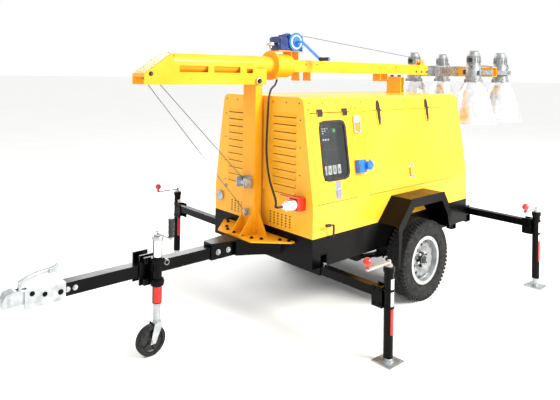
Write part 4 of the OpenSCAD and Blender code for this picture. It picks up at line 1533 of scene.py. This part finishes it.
def u_bolts(side):
    """Two U-bolts over the axle tube, drawn tight on the leaf pack by nuts underneath."""
    def draw(bm):
        for x in (-36, 36):
            for y in (-35, 35):
                pipe(bm, [at(x, side * 500 + y, 306), at(x, side * 500 + y, 398)], 5.5, 12)
                nut = basis(at(x, side * 500 + y, 322), (1, 0, 0), (0, -1, 0))
                hex_bolt(bm, nut, (0, 0), 17, 0)
            pipe(bm, [at(x, side * 500 - 35, 396), at(x, side * 500 + 35, 396)], 5.5, 12)
        slab(bm, ground_plane(0, side * 500), (-48, -44, 316), (48, 44, 324))
    return draw


def guard_bead(side):
    """The rolled edge round the mudguard's outer flange."""
    def draw(bm):
        outline = [(-402, 347), (-402, 668), (-228, 858), (235, 858), (345, 686), (345, 542)]
        pipe(bm, [at(x, side * 797, z) for x, z in outline], 3.5, 10)
    return draw


for side, word in ((-1, "near"), (1, "far")):
    make("leaf_pack_" + word, "trailer", chassis_black, leaf_pack(side), edge=0.6)
    make("spring_u_bolts_" + word, "trailer", zinc, u_bolts(side), sharp=35)
    make("mudguard_bead_" + word, "trailer", chassis_black, guard_bead(side), sharp=50)

# ---------------------------------------------------------------- canopy outlets and fittings


def outlet_lid(bm):
    """The round blue sprung lid with a ribbed rim and a finger tab, and the box's four screws."""
    plane = near_side @ Matrix.Translation((-540, 230, 61))
    turned(bm, plane, (0, 0), [(0, 0), (35, 0), (37, 2), (37, 9), (34, 12), (26, 13), (24, 11), (8, 11),
                               (6, 13), (0, 13)],
           40)
    for k in range(18):
        t = 2 * math.pi * k / 18
        rib = basis(plane @ Vector((36.5 * math.cos(t), 36.5 * math.sin(t), 2)), plane.col[0].xyz,
                    plane.col[1].xyz)
        slab(bm, rib, (-1.4, -1.4, 0), (1.4, 1.4, 7))
    slab(bm, plane, (-9, 34, 1), (9, 47, 8))
    box = near_side @ Matrix.Translation((-600, 230, 42))
    for u in (-33, 33):
        for v in (-42, 42):
            dome(bm, box, (u, v), 4, 3)
    prism(bm, box, rounded(-28, -36, 28, 36, 6), 0, 2.5)


def front_fittings(bm):
    """Round filler cap and small plug low on the far corner of the front, each with its rim."""
    for y, z, radius, base in ((510, 792, 41.9, 14.1), (440, 889, 13.9, 8.1)):
        turned(bm, front_face, (-y, z), [(0, base + 3), (radius * 0.5, base + 3), (radius * 0.6, base + 1),
                                         (radius * 0.82, base + 1), (radius * 0.9, base + 4), (radius,
                                                                                               base + 3),
                                         (radius, base), (0, base)], 40)


def skirt_handle(bm):
    """Black L-shaped hand lever that stands on the near front corner of the skirt."""
    pipe(bm, smooth_path([at(-968, -606, 652), at(-968, -634, 666), at(-968, -640, 700), at(-968, -640,
                                                                                            752)], 6), 8, 14)
    pipe(bm, [at(-968, -640, 752), at(-1012, -640, 756)], 6, 12)
    pipe(bm, [at(-1004, -640, 755), at(-1046, -640, 759)], 12, 16)


def plug_ribs(bm):
    """Collar, cable nut and grip ribs on the white plug."""
    plane = basis(at(0, -476, 905), (0, -1, 0), (0, 0, 1))
    turned(bm, plane, (0, 0), [(36.1, 1222), (40, 1224), (40, 1240), (36.1, 1242), (36.1, 1222)], 40)
    for k in range(16):
        t = 2 * math.pi * k / 16
        rib = basis(plane @ Vector((24 * math.cos(t), 24 * math.sin(t), 1286)), (0, -1, 0), (0, 0, 1))
        slab(bm, rib, (-1.5, -1.5, 0), (1.5, 1.5, 20))


make("outlet_lid_near", "trailer", crank_blue, outlet_lid, edge=0.6)
make("front_filler_caps", "trailer", zinc, front_fittings, sharp=30)
make("skirt_hand_lever", "trailer", moulded_black, skirt_handle, sharp=50)
make("plug_collar", "trailer", plug_white, plug_ribs, sharp=30)


def louvre_throats(bm):
    """The dark throat under each pressed louvre's hood, drawn as a strip of painted shade on the sheet."""
    for k in range(11):
        z = 1535 - 57 * k
        for u in (-414, 157):
            slab(bm, front_face, (u + 5, z - 25, 0.2), (u + 252, z - 16.3, 1.2))


brown_shadow = surface("unlit_inside_of_louvre", "5A3208", "6E3F0C", 60, 3.0, 0.02, (0.7, 0.8),
                       Specular_IOR_Level=0.05)[0]
make("louvre_throats", "trailer", brown_shadow, louvre_throats)

# ---------------------------------------------------------------- crossarm wiring


def braided_conduit(bm):
    """Braided sleeve that runs along the crossarm's top and dips to each pair of lamps."""
    points = [at(1781, -440, MAST_Z + 46), at(1800, -300, MAST_Z + 58), (at(1781, -150, MAST_Z + 46)),
              at(1781, 0, MAST_Z + 48), at(1781, 150, MAST_Z + 46), at(1800, 300, MAST_Z + 58),
              at(1781, 440, MAST_Z + 46)]
    pipe(bm, smooth_path(points, 8), 8, 14)


def conduit_clips(bm):
    for y in (-430, -160, 0, 160, 430):
        slab(bm, basis(at(1781, y, MAST_Z + 40.3), (1, 0, 0), (0, 1, 0)), (-16, -9, 0), (16, 9, 2.5))


def arm_bolts(bm):
    for y in (-370, 370):
        for s in (-1, 1):
            plane = side_facing(1781 + s * 220, y + 98, MAST_Z - 10, 1)
            hex_bolt(bm, plane, (0, 0), 17, 0.2)
            lower = side_facing(1781 + s * 220, y - 98, MAST_Z - 10, -1)
            hex_bolt(bm, lower, (0, 0), 17, 0.2)


make("crossarm_conduit", "mast_inner", zinc, braided_conduit, sharp=60)
make("crossarm_clips", "mast_inner", zinc, conduit_clips)
make("crossarm_bracket_bolts", "mast_inner", zinc, arm_bolts, edge=0.6)

# ---------------------------------------------------------------- generating set


def engine_head(bm):
    """Finned block, rocker cover and exhaust manifold of a four-cylinder engine."""
    top = ground_plane(180, 0)
    prism(bm, top, rounded(-195, -78, 195, 78, 22), 1180, 1215)
    prism(bm, top, rounded(-180, -60, 180, 60, 16), 1215, 1228)
    for k in range(11):
        slab(bm, top, (-232 + 43 * k, -146, 780), (-224 + 43 * k, 146, 1070))
    for k in range(4):
        port = [at(40 + 95 * k, -92, 1120), at(40 + 95 * k, -130, 1120), at(60 + 90 * k, -150, 1140)]
        pipe(bm, smooth_path(port, 4), 17, 16)
    pipe(bm, [at(20, -152, 1140), at(360, -152, 1140)], 24, 20)
    filler = ground_plane(60, 0)
    turned(bm, filler, (0, 0), [(0, 1228), (24, 1228), (26, 1240), (20, 1248), (0, 1248)], 24)


def radiator_core(bm):
    """Rows of thin fins with tubes across."""
    for k in range(46):
        slab(bm, ground_plane(655, 0), (-36.5, -292 + 12.7 * k, 690), (36.5, -290 + 12.7 * k, 1262))
    for z in range(720, 1260, 45):
        pipe(bm, [at(655, -292, z), at(655, 292, z)], 6, 8)


def coolant_hoses(bm):
    pipe(bm, smooth_path([at(400, 60, 1130), at(480, 70, 1190), at(560, 60, 1210), at(622, 60, 1200)], 8),
         20, 18)
    pipe(bm, smooth_path([at(410, -60, 830), at(480, -90, 800), at(560, -80, 770), at(622, -60, 760)], 8),
         20, 18)


def alternator_fins(bm):
    for k in range(24):
        t = 2 * math.pi * k / 24
        rib = basis(at(-300, 150 * math.cos(t), 900 + 150 * math.sin(t)), (1, 0, 0), (0, -math.sin(t),
                                                                                      math.cos(t)))
        slab(bm, rib, (-200, -2.5, -4), (200, 2.5, 12))


make("engine_block_fins", "trailer", engine_grey, engine_head, edge=1.2)
make("radiator_fins", "trailer", engine_grey, radiator_core)
make("coolant_hoses", "trailer", cable_rubber, coolant_hoses, sharp=60)
make("alternator_fins", "trailer", engine_grey, alternator_fins)
